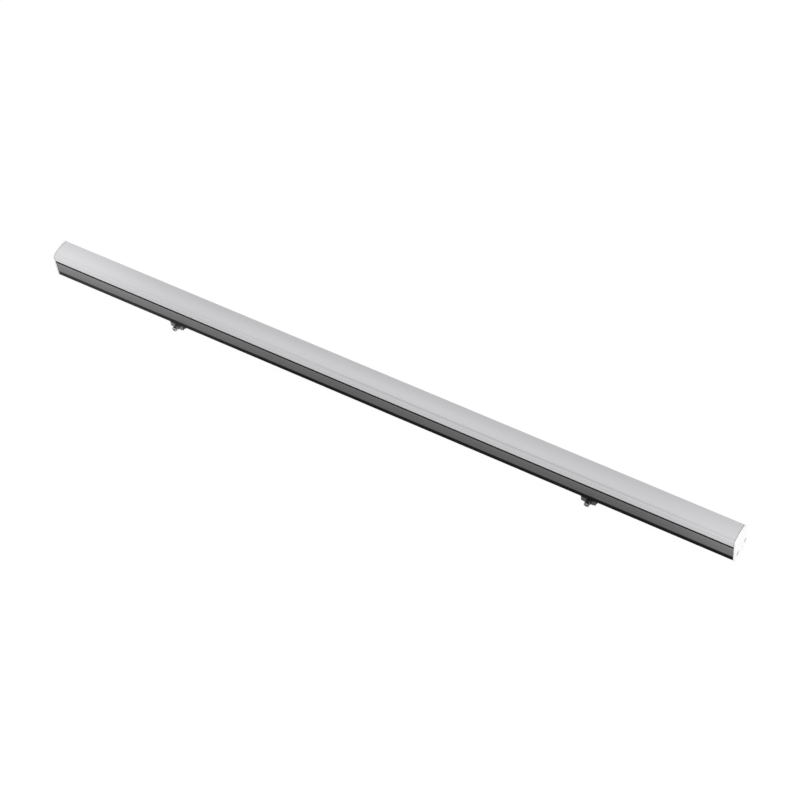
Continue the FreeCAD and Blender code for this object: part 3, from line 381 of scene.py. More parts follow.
@dataclass(frozen=True)
class MilkyCover(Finish):
    """Milky polycarbonate: draw lines along the bar, a painted shade line on the front shoulder, painted
    shade at its foot, and painted light making it paler by the caps.
    """

    end: float = 496.2 * MM
    left_reach: float = 300 * MM
    right_reach: float = 210 * MM
    left_glow: float = 0.27
    right_glow: float = 0.10
    crease_side: float = 12.8 * MM
    crease_reach: float = 3.0 * MM
    crown_level: float = 49.4 * MM
    foot_level: float = 42.2 * MM
    dust_colour: Colour = (0.36, 0.35, 0.33)

    def build(self) -> bpy.types.Material:
        """Return the cover's material."""
        s = Surface(self.name)
        x, y, z = s.axes(s.place)
        lines = s.noise(s.scaled((1.4, 700.0, 700.0)), detail=3.0)
        clouds = s.noise(s.scaled((9.0, 30.0, 30.0)), detail=2.0)
        grain = s.noise(s.place, 9000.0, 2.0)
        # Painted shade: a darker line along the front shoulder's corner, strongest in the middle of the bar.
        crease_shade_strength = 0.06 + 0.15 * x.above(-0.1, 0.25) * (1.0 - x.above(0.42, 0.3))
        painted_crease_shade = y.near(-self.crease_side, self.crease_reach) * z.above(self.crown_level, 1.0 * MM) * crease_shade_strength
        # Painted shade: the cover darkens at its foot, next to the joint with the channel.
        foot = 1.0 - z.above(self.foot_level, 2.4 * MM)
        # Painted light: the cover is made paler towards both caps, most at the left.
        left = 1.0 - s.step(x + self.end, 0.0, self.left_reach)
        right = 1.0 - s.step(self.end - x, 0.0, self.right_reach)
        painted_end_light = self.left_glow * left * left + self.right_glow * right * right
        tone = 0.965 + 0.035 * lines + 0.04 * clouds - painted_crease_shade - 0.06 * foot + painted_end_light
        dust = s.specks(130.0, 0.03) * s.noise(s.place, 18.0)
        colour = s.mix(dust * 0.35, s.shade(self.colour, tone), self.dust_colour)
        relief = s.bump(lines, 0.006 * MM, s.bump(grain, 0.0012 * MM))
        return s.finish(Base_Color=colour, Roughness=self.roughness + 0.10 * (clouds - 0.5) + 0.08 * lines,
                        Normal=relief, Specular_IOR_Level=0.4)


@dataclass(frozen=True)
class DrawnAluminium(Finish):
    """Anodised extrusion: die lines along the bar, a painted shade band along the foot that is paler at the
    left end, painted shade on the top lip with a painted highlight below it, painted shade darkening the side
    towards the band, and painted reflection making the ends paler.
    """

    band_colour: Colour = (0.012, 0.012, 0.013)
    band_foot: float = 10.9 * MM
    band_top: float = 20.6 * MM
    dusty_band: Colour = (0.040, 0.040, 0.041)
    top: float = 37.8 * MM
    side: float = 13.0 * MM
    end: float = 496.2 * MM
    left_reach: float = 420.0 * MM
    right_reach: float = 130.0 * MM
    worn_colour: Colour = (0.33, 0.33, 0.34)
    scuff_colour: Colour = (0.22, 0.22, 0.225)

    def build(self) -> bpy.types.Material:
        """Return the channel's material."""
        s = Surface(self.name)
        x, y, z = s.axes(s.place)
        lines = s.noise(s.scaled((1.1, 1500.0, 1500.0)), detail=4.0, rough=0.6)
        broad = s.noise(s.scaled((2.5, 160.0, 160.0)), detail=2.0)
        clouds = s.noise(s.scaled((11.0, 60.0, 60.0)), detail=3.0)
        # Painted reflection: the channel is made paler towards both ends, most at the left.
        left_end_reflection = 1.0 - s.step(x + self.end, 0.0, self.left_reach)
        right_end_reflection = 1.0 - s.step(self.end - x, 0.0, self.right_reach)
        tone = 0.80 + 0.12 * lines + 0.08 * broad + 0.06 * clouds + 0.75 * left_end_reflection + 0.45 * right_end_reflection
        side = abs(y).above(self.side, 0.3 * MM)
        foot = z.above(self.band_foot, 0.2 * MM) * side
        # Painted shade: a dark, non-metallic band along the foot of each side.
        painted_band_shade = (1.0 - z.above(self.band_top, 2.6 * MM)) * foot
        # Painted shade: each side darkens from the top down to the band.
        painted_low_shade = (1.0 - s.step(z, self.band_top, self.top)) * foot
        # Painted highlight: a paler strip along the top of each side.
        rim = z.above(self.top - 1.6 * MM, 2.6 * MM) * side
        # Painted shade: the top lip under the cover's joint is dark and non-metallic.
        lip = z.above(self.top - 0.35 * MM, 0.2 * MM)
        body = s.shade(self.colour, tone * (1.0 + 0.22 * rim - 0.16 * painted_low_shade))
        # The dark band is painted paler towards the left end, a painted reflection.
        dark = s.mix(left_end_reflection, self.band_colour, self.dusty_band)
        body = s.mix(painted_band_shade, body, dark)
        worn = s.flag("worn") * (0.35 + 0.5 * clouds)
        scuff = s.noise(s.scaled((40.0, 900.0, 900.0)), detail=2.0).above(0.70, 0.06) * 0.2
        colour = s.mix(worn * 0.2 * (1.0 - painted_band_shade) * (1.0 - lip), body, self.worn_colour)
        colour = s.mix(lip, colour, dark)
        colour = s.mix(scuff * (1.0 - painted_band_shade), colour, self.scuff_colour)
        relief = s.bump(lines, 0.012 * MM, s.bump(broad, 0.02 * MM))
        rough = self.roughness + 0.12 * (lines - 0.5) + 0.08 * (clouds - 0.5) - 0.05 * worn
        return s.finish(Base_Color=colour, Metallic=1.0 - s.math("MAXIMUM", painted_band_shade, lip), Roughness=rough,
                        Normal=relief, Specular_IOR_Level=0.0)


@dataclass(frozen=True)
class BlastedAluminium(Finish):
    """Anodised clip metal: fine blasted grain, sawn ends darkened with painted shade, a painted shadow of the
    bar along the top, and rubbed edges.
    """

    rubbed: Colour = (0.42, 0.42, 0.43)
    sooty_level: float = 8.6 * MM

    def build(self) -> bpy.types.Material:
        """Return the clips' material."""
        s = Surface(self.name)
        across = abs(s.axes(s.facing)[0]).above(0.9, 0.1)
        # Painted shadow: the clip's upper part, under the bar, is darkened.
        painted_bar_shadow = s.axes(s.place)[2].above(self.sooty_level, 1.6 * MM)
        grain = s.noise(s.place, 5200.0, 3.0, 0.6)
        clouds = s.noise(s.place, 210.0, 3.0)
        saw = s.noise(s.scaled((300.0, 260.0, 5200.0)), detail=2.0)
        drawn = s.noise(s.scaled((40.0, 2600.0, 2600.0)), detail=2.0)
        # Painted shade: the faces across X are darkened.
        painted_end_shade = 1.0 - across * (0.86 - 0.10 * saw)
        tone = (0.80 + 0.18 * grain + 0.24 * clouds + 0.10 * drawn) * painted_end_shade * (1.0 - 0.85 * painted_bar_shadow)
        worn = s.flag("worn") * (0.15 + 0.85 * clouds.above(0.45, 0.3)) * (1.0 - across)
        colour = s.mix(worn * 0.25, s.shade(self.colour, tone), self.rubbed)
        relief = s.bump(across * saw + (1.0 - across) * (0.7 * grain + 0.3 * drawn), 0.014 * MM)
        rough = self.roughness + 0.14 * (clouds - 0.5) + 0.06 * (grain - 0.5) - 0.10 * worn
        # Both painted shade masks also take the metal away.
        dark = s.math("MAXIMUM", across, painted_bar_shadow)
        return s.finish(Base_Color=colour, Metallic=1.0 - 0.9 * dark, Roughness=rough,
                        Normal=relief, Specular_IOR_Level=0.1)


@dataclass(frozen=True)
class TurnedSteel(Finish):
    """Stainless steel that was turned on a lathe: fine rings round its axis, and painted shade in its socket.
    """

    centre: Point = (0.0, 0.0, 0.0)
    axis: Axis = Axis.UP
    stained: Colour = (0.30, 0.27, 0.23)

    def build(self) -> bpy.types.Material:
        """Return the fasteners' material."""
        s = Surface(self.name)
        radius = s.rings(self.centre, self.axis)
        rings = s.noise(s.vector(radius * 5200.0, 0.0, 0.0), detail=3.0, rough=0.7)
        clouds = s.noise(s.place, 420.0, 3.0)
        grain = s.noise(s.place, 8000.0, 2.0)
        hollow = s.flag("hollow")
        # Painted shade: the socket's faces, marked hollow, are darkened.
        tone = 0.82 + 0.16 * rings + 0.20 * clouds - 0.62 * hollow
        stain = s.noise(s.place, 900.0, 4.0, 0.65).above(0.62, 0.12) * 0.25
        colour = s.mix(stain, s.shade(self.colour, tone), self.stained)
        relief = s.bump(rings, 0.006 * MM, s.bump(grain, 0.002 * MM))
        rough = self.roughness + 0.10 * (rings - 0.5) + 0.16 * (clouds - 0.5) + 0.2 * hollow
        return s.finish(Base_Color=colour, Metallic=1.0, Roughness=rough, Normal=relief)


@dataclass(frozen=True)
class Moulding(Finish):
    """Moulded plastic: eroded grain, faint flow clouds, handling marks and a gloss of its own."""

    grain: float = 2600.0
    grain_depth: float = 0.006 * MM
    clouding: float = 0.05
    coat: float = 0.0
    marks: Colour = (0.45, 0.44, 0.42)
    marking: float = 0.12

    def build(self) -> bpy.types.Material:
        """Return the moulding's material."""
        s = Surface(self.name)
        grain = s.noise(s.place, self.grain, 2.0, 0.55)
        clouds = s.noise(s.place, 95.0, 3.0)
        smears = s.noise(s.scaled((60.0, 260.0, 140.0)), detail=4.0, rough=0.6)
        tone = 1.0 - self.clouding * 0.5 + self.clouding * clouds
        mark = smears.above(0.62, 0.16) * self.marking + s.specks(420.0, 0.06) * self.marking
        colour = s.mix(mark, s.shade(self.colour, tone), self.marks)
        relief = s.bump(grain, self.grain_depth, s.bump(clouds, 0.03 * MM))
        rough = self.roughness + 0.10 * (smears - 0.5) + 0.05 * (grain - 0.5)
        return s.finish(Base_Color=colour, Roughness=rough, Normal=relief, Coat_Weight=self.coat,
                        Coat_Roughness=0.12)


@dataclass(frozen=True)
class SoftRubber(Finish):
    """Rubber or silicone: matt, with bloom, fine pits and a little pale dust."""

    dust: Colour = (0.20, 0.19, 0.18)
    dusty: float = 0.15
    sheen: float = 0.35

    def build(self) -> bpy.types.Material:
        """Return the rubber's material."""
        s = Surface(self.name)
        grain = s.noise(s.place, 4200.0, 3.0, 0.6)
        bloom = s.noise(s.scaled((30.0, 220.0, 220.0)), detail=4.0, rough=0.65)
        body = s.shade(self.colour, 0.8 + 0.4 * grain)
        colour = s.mix(bloom.above(0.55, 0.3) * self.dusty, body, self.dust)
        colour = s.mix(s.specks(900.0, 0.08) * self.dusty, colour, self.dust)
        return s.finish(Base_Color=colour, Roughness=self.roughness + 0.2 * (bloom - 0.5),
                        Normal=s.bump(grain, 0.02 * MM), Specular_IOR_Level=self.sheen)


@dataclass(frozen=True)
class Laminate(Finish):
    """Circuit board: solder mask over raised copper tracks, with a sawn glass edge."""

    track: Colour = (0.9, 0.9, 0.88)
    pitch: float = 6.0 * MM
    edge: Colour = (0.55, 0.50, 0.32)

    def build(self) -> bpy.types.Material:
        """Return the board's material."""
        s = Surface(self.name)
        x, y, _ = s.axes(s.place)
        lane = self.pitch / 3
        column, row = s.math("FLOOR", x / self.pitch), s.math("FLOOR", y / lane)
        cell = s.signal("ShaderNodeTexWhiteNoise", {"noise_dimensions": "2D"},
                        {"Vector": s.vector(column, row, 0.0)}, output="Value")
        along = abs(y % lane - self.pitch / 6).near(0.0, 0.45 * MM)
        step = abs(x % self.pitch - self.pitch / 2).near(0.0, 0.5 * MM)
        tracks = s.math("MAXIMUM", along * cell.above(0.25, 0.02), step * cell.above(0.7, 0.02))
        weave = s.noise(s.scaled((2400.0, 2400.0, 200.0)), detail=1.0)
        up = abs(s.axes(s.facing)[2]).above(0.8, 0.1)
        face = s.mix(tracks, s.shade(self.colour, 0.93 + 0.14 * weave), self.track)
        colour = s.mix(1.0 - up, face, self.edge)
        relief = s.bump(tracks, 0.05 * MM, s.bump(weave, 0.006 * MM))
        return s.finish(Base_Color=colour, Roughness=self.roughness + 0.15 * (weave - 0.5) + 0.3 * (1.0 - up),
                        Normal=relief, Coat_Weight=0.2)


@dataclass(frozen=True)
class Sintered(Finish):
    """Ferrite and fired parts: dark, with sparkling crystal specks and chipped corners."""

    fleck: Colour = (0.16, 0.16, 0.17)

    def build(self) -> bpy.types.Material:
        """Return the sintered material."""
        s = Surface(self.name)
        grain = s.noise(s.place, 3000.0, 4.0, 0.7)
        flecks = s.specks(3600.0, 0.2) * s.noise(s.place, 700.0).above(0.5, 0.1)
        colour = s.mix(flecks * 0.6, s.shade(self.colour, 0.7 + 0.6 * grain), self.fleck)
        return s.finish(Base_Color=colour, Roughness=self.roughness + 0.25 * (grain - 0.5) - 0.2 * flecks,
                        Normal=s.bump(grain, 0.03 * MM))


@dataclass(frozen=True)
class ShrunkSleeve(Finish):
    """Shrunk film on capacitors and insulation on wires: glossy, with fine wrinkles round the piece."""

    wrinkle: Point = (900.0, 160.0, 160.0)

    def build(self) -> bpy.types.Material:
        """Return the sleeve's material."""
        s = Surface(self.name)
        folds = s.noise(s.scaled(self.wrinkle), detail=3.0, rough=0.6)
        clouds = s.noise(s.place, 240.0, 2.0)
        colour = s.shade(self.colour, 0.75 + 0.35 * folds + 0.15 * clouds)
        return s.finish(Base_Color=colour, Roughness=self.roughness + 0.15 * (folds - 0.5),
                        Normal=s.bump(folds, 0.04 * MM), Coat_Weight=0.3)


@dataclass(frozen=True)
class Phosphor(Finish):
    """The yellow phosphor gel in an LED's window."""

    def build(self) -> bpy.types.Material:
        """Return the gel's material."""
        s = Surface(self.name)
        grain = s.noise(s.place, 6000.0, 3.0)
        dome = s.noise(s.place, 500.0, 1.0)
        colour = s.shade(self.colour, 0.85 + 0.25 * grain + 0.05 * dome)
        return s.finish(Base_Color=colour, Roughness=self.roughness + 0.1 * (dome - 0.5),
                        Normal=s.bump(grain, 0.01 * MM), Coat_Weight=0.4)


# ---------------------------------------------------------------------------------------------------------
# Shapes
# ---------------------------------------------------------------------------------------------------------

@dataclass(frozen=True)
class Ring:
    """One ring of a turned shape: its radius and level in mm, whether it is hexagonal, and its marks."""

    radius: float
    level: float
    hexagonal: bool = False
    thread: float = 0.0
    knurl: float = 0.0
    hollow: bool = False

    def reach(self, angle: float) -> float:
        """Return how far the ring lies from the axis at an angle; a hexagon's radius is to its flats."""
        if not self.hexagonal:
            return self.radius
        sixth = math.pi / 3
        return self.radius / math.cos((angle % sixth) - sixth / 2)


def new_piece(name: str, mesh: bpy.types.Mesh) -> bpy.types.Object:
    """Return a new object for a mesh, linked to the scene."""
    piece = bpy.data.objects.new(name, mesh)
    bpy.context.scene.collection.objects.link(piece)
    return piece


def turned(name: str, rings: Sequence[Ring], segments: int) -> bpy.types.Object:
    """Make a closed turned shape about +Z.

    Args:
        name: The object's name.
        rings: Its rings from the foot up, and down again into a socket.
        segments: How many sides a ring has.

    Returns:
        The object, with the points' attributes "thread" and "knurl" and the faces' "hollow".
    """
    shape = bmesh.new()
    thread = shape.verts.layers.float.new("thread")
    knurl = shape.verts.layers.float.new("knurl")
    hollow = shape.faces.layers.float.new("hollow")
    loops = []
    for ring in rings:
        loop = []
        for number in range(segments):
            angle = 2 * math.pi * number / segments
            reach = ring.reach(angle) * MM
            vert = shape.verts.new((reach * math.cos(angle), reach * math.sin(angle), ring.level * MM))
            vert[thread] = ring.thread
            vert[knurl] = ring.knurl
            loop.append(vert)
        loops.append(loop)
    for low, high, ring in zip(loops, loops[1:], rings[1:]):
        for number in range(segments):
            after = (number + 1) % segments
            face = shape.faces.new((low[number], low[after], high[after], high[number]))
            face[hollow] = float(ring.hollow)
    for loop, ring in ((loops[0], rings[0]), (loops[-1], rings[-1])):
        pole = shape.verts.new((0.0, 0.0, ring.level * MM))
        for number in range(segments):
            after = (number + 1) % segments
            face = shape.faces.new((loop[number], loop[after], pole))
            face[hollow] = float(ring.hollow)
    bmesh.ops.recalc_face_normals(shape, faces=shape.faces)
    mesh = bpy.data.meshes.new(name)
    shape.to_mesh(mesh)
    shape.free()
    return new_piece(name, mesh)


def softened(node: str, name: str, width: float, segments: int = 2,
             reshape: Callable[[bmesh.types.BMesh], None] | None = None) -> bpy.types.Object:
    """Copy a CAD node's mesh and round its sharp edges.

    Args:
        node: The CAD node.
        name: The new piece's name.
        width: How wide the rounding is, in mm.
        segments: How many strips round an edge.
        reshape: What is done to the merged copy first.

    Returns:
        The piece, with the faces' attribute "worn" at 1 on the rounded edges.
    """
    shape = bmesh.new()
    shape.from_mesh(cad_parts[node].data)
    bmesh.ops.remove_doubles(shape, verts=shape.verts, dist=MERGE_REACH)
    if reshape:
        reshape(shape)
    bmesh.ops.dissolve_limit(shape, angle_limit=FLAT_ANGLE, verts=shape.verts, edges=shape.edges)
    worn = shape.faces.layers.float.new("worn")
    for face in shape.faces:
        face.material_index = 0
    sharp = [edge for edge in shape.edges
             if len(edge.link_faces) == 2 and edge.calc_face_angle() > SHARP_ANGLE]
    bmesh.ops.bevel(shape, geom=sharp, offset=width * MM, offset_type="OFFSET", segments=segments,
                    profile=0.5, affect="EDGES", clamp_overlap=True, material=1)
    for face in shape.faces:
        face[worn] = float(face.material_index)
        face.material_index = 0
    mesh = bpy.data.meshes.new(name)
    shape.to_mesh(mesh)
    shape.free()
    if "custom_normal" in mesh.attributes:
        mesh.attributes.remove(mesh.attributes["custom_normal"])
    return smoothed(new_piece(name, mesh), SMOOTH_ANGLE)


def smoothed(piece: bpy.types.Object, angle: float) -> bpy.types.Object:
    """Shade a piece smooth up to an angle and keep its flat faces flat.

    Args:
        piece: The piece.
        angle: The sharpest angle in radians that is still shaded smooth.

    Returns:
        The same piece, with its normals in its mesh.
    """
    piece.data.shade_smooth()
    piece.data.set_sharp_from_angle(angle=angle)
    weighted = piece.modifiers.new("weighted", "WEIGHTED_NORMAL")
    weighted.keep_sharp = True
    settle(piece)
    return piece


def settle(piece: bpy.types.Object) -> None:
    """Turn a piece's modifiers into a plain mesh and take them off."""
    bpy.context.view_layer.update()
    evaluated = piece.evaluated_get(bpy.context.evaluated_depsgraph_get())
    mesh = bpy.data.meshes.new_from_object(evaluated)
    mesh.name = piece.name
    piece.modifiers.clear()
    piece.data = mesh


# ---------------------------------------------------------------------------------------------------------
# Geometry recipes
# ---------------------------------------------------------------------------------------------------------

class Recipe(Graph):
    """A geometry tree with named inputs, whose result becomes a plain mesh."""

    KINDS = {float: "NodeSocketFloat", int: "NodeSocketInt", tuple: "NodeSocketVector",
             bpy.types.Object: "NodeSocketObject", bpy.types.Material: "NodeSocketMaterial"}

    def __init__(self, name: str, inputs: Mapping[str, type]) -> None:
        """Make the tree with its inputs.

        Args:
            name: The tree's name.
            inputs: The type of each named input after the geometry.
        """
        tree = bpy.data.node_groups.new(name, "GeometryNodeTree")
        tree.interface.new_socket(name="Geometry", in_out="INPUT", socket_type="NodeSocketGeometry")
        for label, kind in inputs.items():
            tree.interface.new_socket(name=label, in_out="INPUT", socket_type=self.KINDS[kind])
        tree.interface.new_socket(name="Geometry", in_out="OUTPUT", socket_type="NodeSocketGeometry")
        super().__init__(tree)
        self.given = self.node("NodeGroupInput")

    def take(self, name: str) -> Signal:
        """Return one of the tree's inputs."""
        return Signal(self, self.given.outputs[name])

    def close(self, geometry: Signal) -> None:
        """End the tree in Realize Instances and Set Material."""
        real = self.signal("GeometryNodeRealizeInstances", values={"Geometry": geometry})
        dressed = self.signal("GeometryNodeSetMaterial",
                              values={"Geometry": real, "Material": self.take("Material")})
        self.node("NodeGroupOutput", values={0: dressed})

    def run(self, piece: bpy.types.Object, **values: Any) -> bpy.types.Object:
        """Run the tree on a piece and keep the result as its mesh.

        Args:
            piece: The object whose mesh is the tree's geometry.
            **values: The inputs, with _ for each space of their names.

        Returns:
            The same piece.
        """
        modifier = piece.modifiers.new(self.tree.name, "NODES")
        modifier.node_group = self.tree
        ids = {item.name: item.identifier for item in self.tree.interface.items_tree
               if item.item_type == "SOCKET" and item.in_out == "INPUT"}
        for name, value in values.items():
            modifier[ids[name.replace("_", " ")]] = value
        settle(piece)
        return piece


class SweptSection(Recipe):
    """Draws a closed section along the bar between two ends."""

    def __init__(self) -> None:
        """Build the tree."""
        super().__init__("swept_section", {"Start": float, "End": float, "Material": bpy.types.Material})
        section = self.signal("GeometryNodeMeshToCurve", values={"Mesh": self.take("Geometry")})
        start, end = (self.vector(self.take(name), 0.0, 0.0) for name in ("Start", "End"))
        path = self.signal("GeometryNodeCurvePrimitiveLine", values={"Start": start, "End": end})
        upright = self.signal("GeometryNodeSetCurveNormal", {"mode": "Z_UP"}, {"Curve": path})
        self.close(self.signal("GeometryNodeCurveToMesh", values={
            "Curve": upright, "Profile Curve": section, "Fill Caps": True}))

    def draw(self, name: str, outline: Sequence[tuple[float, float]], start: float, end: float,
             finish: Finish) -> bpy.types.Object:
        """Sweep an outline.

        Args:
            name: The new piece's name.
            outline: Its (y, z) points in mm, anticlockwise.
            start: Where it begins along X, in mm.
            end: Where it ends along X, in mm.
            finish: What it is made of.

        Returns:
            The piece.
        """
        mesh = bpy.data.meshes.new(name)
        points = [(-y * MM, -z * MM, 0.0) for y, z in outline]
        mesh.from_pydata(points, [(n, (n + 1) % len(points)) for n in range(len(points))], [])
        return self.run(new_piece(name, mesh), Start=start * MM, End=end * MM, Material=finish.material())


class FastenerRun(Recipe):
    """Sets screws at given places, cutting their threads and knurls by rule."""

    def __init__(self) -> None:
        """Build the tree."""
        super().__init__("fastener_run", {
            "Shape": bpy.types.Object, "Turn": tuple, "Pitch": float, "Thread Depth": float,
            "Knurl Count": float, "Knurl Depth": float, "Material": bpy.types.Material})
        shape = self.signal("GeometryNodeObjectInfo", values={"Object": self.take("Shape")},
                            output="Geometry")
        x, y, z = self.axes(self.signal("GeometryNodeInputPosition"))
        angle = self.math("ARCTAN2", y, x)
        radius = self.math("SQRT", x * x + y * y)
        winding = (z / self.take("Pitch") - angle / (2 * math.pi)) % 1.0
        groove = (1.0 - abs(winding * 2.0 - 1.0)) * self._mark("thread") * self.take("Thread Depth")
        flute = 0.5 - 0.5 * self.math("COSINE", angle * self.take("Knurl Count"))
        inwards = groove + flute * self._mark("knurl") * self.take("Knurl Depth")
        share = -inwards / self.math("MAXIMUM", radius, 1e-6)
        cut = self.signal("GeometryNodeSetPosition",
                          values={"Geometry": shape, "Offset": self.vector(x * share, y * share, 0.0)})
        turn = self.signal("FunctionNodeEulerToRotation", values={"Euler": self.take("Turn")})
        self.close(self.signal("GeometryNodeInstanceOnPoints", values={
            "Points": self.take("Geometry"), "Instance": cut, "Rotation": turn}))

    def _mark(self, name: str) -> Signal:
        """Return one of the shape's own point attributes."""
        return self.signal("GeometryNodeInputNamedAttribute", {"data_type": "FLOAT"}, {"Name": name},
                           output="Attribute")

    def set_out(self, name: str, shape: bpy.types.Object, places: Sequence[Point], axis: Axis,
                finish: Finish, pitch: float = 0.7, thread: float = 0.0, knurls: int = 0,
                knurl: float = 0.0) -> bpy.types.Object:
        """Set one screw at each place.

        Args:
            name: The new piece's name.
            shape: The screw about +Z, which is used up.
            places: Where the screws go, in mm.
            axis: Which way their heads look.
            finish: What they are made of.
            pitch: The thread's pitch in mm.
            thread: The thread's depth in mm.
            knurls: How many flutes go round the head.
            knurl: The flutes' depth in mm.

        Returns:
            The piece, with all the screws in one mesh.
        """
        mesh = bpy.data.meshes.new(name)
        mesh.from_pydata([tuple(c * MM for c in place) for place in places], [], [])
        piece = self.run(new_piece(name, mesh), Shape=shape, Turn=axis.value, Pitch=pitch * MM,
                         Thread_Depth=thread * MM, Knurl_Count=float(knurls), Knurl_Depth=knurl * MM,
                         Material=finish.material())
        bpy.data.objects.remove(shape)
        piece.data.shade_smooth()
        piece.data.set_sharp_from_angle(angle=SHARP_ANGLE)
        return piece


class EvenRow(Recipe):
    """Repeats a small shape along the bar at an even pitch."""

    def __init__(self) -> None:
        """Build the tree."""
        super().__init__("even_row", {
            "Count": int, "First": tuple, "Pitch": float, "Material": bpy.types.Material})
        line = self.signal("GeometryNodeMeshLine", {"mode": "OFFSET"}, {
            "Count": self.take("Count"), "Start Location": self.take("First"),
            "Offset": self.vector(self.take("Pitch"), 0.0, 0.0)})
        self.close(self.signal("GeometryNodeInstanceOnPoints", values={
            "Points": line, "Instance": self.take("Geometry")}))

    def lay(self, piece: bpy.types.Object, count: int, first: Point, pitch: float,
            finish: Finish) -> bpy.types.Object:
        """Repeat a piece.

        Args:
            piece: The shape to repeat, about the origin.
            count: How many there are.
            first: Where the first one goes, in mm.
            pitch: The step along X, in mm.
            finish: What they are made of.

        Returns:
            The same piece, now with all of them in one mesh.
        """
        return self.run(piece, Count=count, First=tuple(c * MM for c in first), Pitch=pitch * MM,
                        Material=finish.material())


# ---------------------------------------------------------------------------------------------------------
# Sub-assemblies
# ---------------------------------------------------------------------------------------------------------

CHANNEL = DrawnAluminium("anodised_aluminium", (0.128, 0.128, 0.131), 0.40)
COVER = MilkyCover("milky_cover", (0.500, 0.500, 0.512), 0.36)
SEAL = SoftRubber("seal_rubber", (0.007, 0.007, 0.007), 0.75, dusty=0.03, sheen=0.05)
CAP = Moulding("cap_plastic", (0.88, 0.88, 0.88), 0.26, coat=0.25, marking=0.05, marks=(0.6, 0.59, 0.57))
GASKET = SoftRubber("gasket_silicone", (0.36, 0.36, 0.37), 0.6, dust=(0.6, 0.6, 0.58))
GROMMET = SoftRubber("grommet_rubber", (0.022, 0.022, 0.023), 0.6)
NYLON = Moulding("ring_nylon", (0.04, 0.04, 0.041), 0.42)
STEEL = TurnedSteel("stainless_steel", (0.45, 0.45, 0.445), 0.28)
# A darker steel for the washers.
DARK_STEEL = TurnedSteel("blackened_steel", (0.20, 0.20, 0.20), 0.42)
BOARD = Laminate("board_white", (0.80, 0.80, 0.78), 0.35, track=(0.86, 0.86, 0.85), edge=(0.62, 0.58, 0.48))
LED = Moulding("led_package", (0.86, 0.85, 0.80), 0.30, grain=6000.0, coat=0.3)
GEL = Phosphor("led_package_gel", (0.82, 0.62, 0.08), 0.25)
LINK = Moulding("link_plastic", (0.82, 0.81, 0.76), 0.38)
TRAY = Moulding("tray_plastic", (0.74, 0.73, 0.69), 0.45, grain=1800.0)
DRIVER = Laminate("driver_laminate", (0.012, 0.13, 0.045), 0.3, track=(0.03, 0.21, 0.07))
TERMINAL = Moulding("terminal_plastic", (0.04, 0.24, 0.08), 0.34, coat=0.1)
FERRITE = Sintered("ferrite", (0.035, 0.035, 0.038), 0.5)
EPOXY = Moulding("rectifier_epoxy", (0.02, 0.02, 0.021), 0.5, grain=4200.0, grain_depth=0.02 * MM)
SLEEVE = ShrunkSleeve("capacitor_sleeve", (0.02, 0.03, 0.085), 0.3)
LEAD = ShrunkSleeve("lead_insulation", (0.36, 0.025, 0.022), 0.45, wrinkle=(420.0, 420.0, 420.0))
# Painted shade: the right clip's aluminium and steel are darker copies of the left clip's.
CLIPS_LIT_BY_SIDE = {
    Side.LEFT: BlastedAluminium("clip_aluminium_left", (0.205, 0.205, 0.21), 0.42),
    Side.RIGHT: BlastedAluminium("clip_aluminium_right", (0.085, 0.085, 0.088), 0.42),
}
STEEL_LIGHT_BY_SIDE = {Side.LEFT: 1.0, Side.RIGHT: 0.55}


def dress(finish: Finish, *nodes: str) -> None:
    """Give CAD nodes a finish."""
    for name in nodes:
        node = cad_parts[name]
        node.data.materials.clear()
        node.data.materials.append(finish.material())
        LOG.info("dressed %s in %s", name, finish.name)


def settle_on(piece: bpy.types.Object, body: str, finish: Finish, *nodes: str) -> bpy.types.Object:
    """Finish a new piece and hang it on its body.

    Args:
        piece: The piece.
        body: The CAD body it moves with.
        finish: What it is made of.
        *nodes: The CAD nodes that it stands for.

    Returns:
        The same piece.
    """
    piece.data.materials.clear()
    piece.data.materials.append(finish.material())
    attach(piece, body)
    if nodes:
        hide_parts(*nodes)
    LOG.info("%s: %d faces on %s", piece.name, len(piece.data.polygons), body)
    return piece


@dataclass
class Housing:
    """The aluminium channel with the two seals on its walls."""

    edge: float = 0.12

    def build(self) -> None:
        """Build the channel and dress the seals."""
        channel = softened("base_extrusion", "channel", self.edge)
        settle_on(channel, "lamp", CHANNEL, "base_extrusion")
        dress(SEAL, "seal_front", "seal_rear")


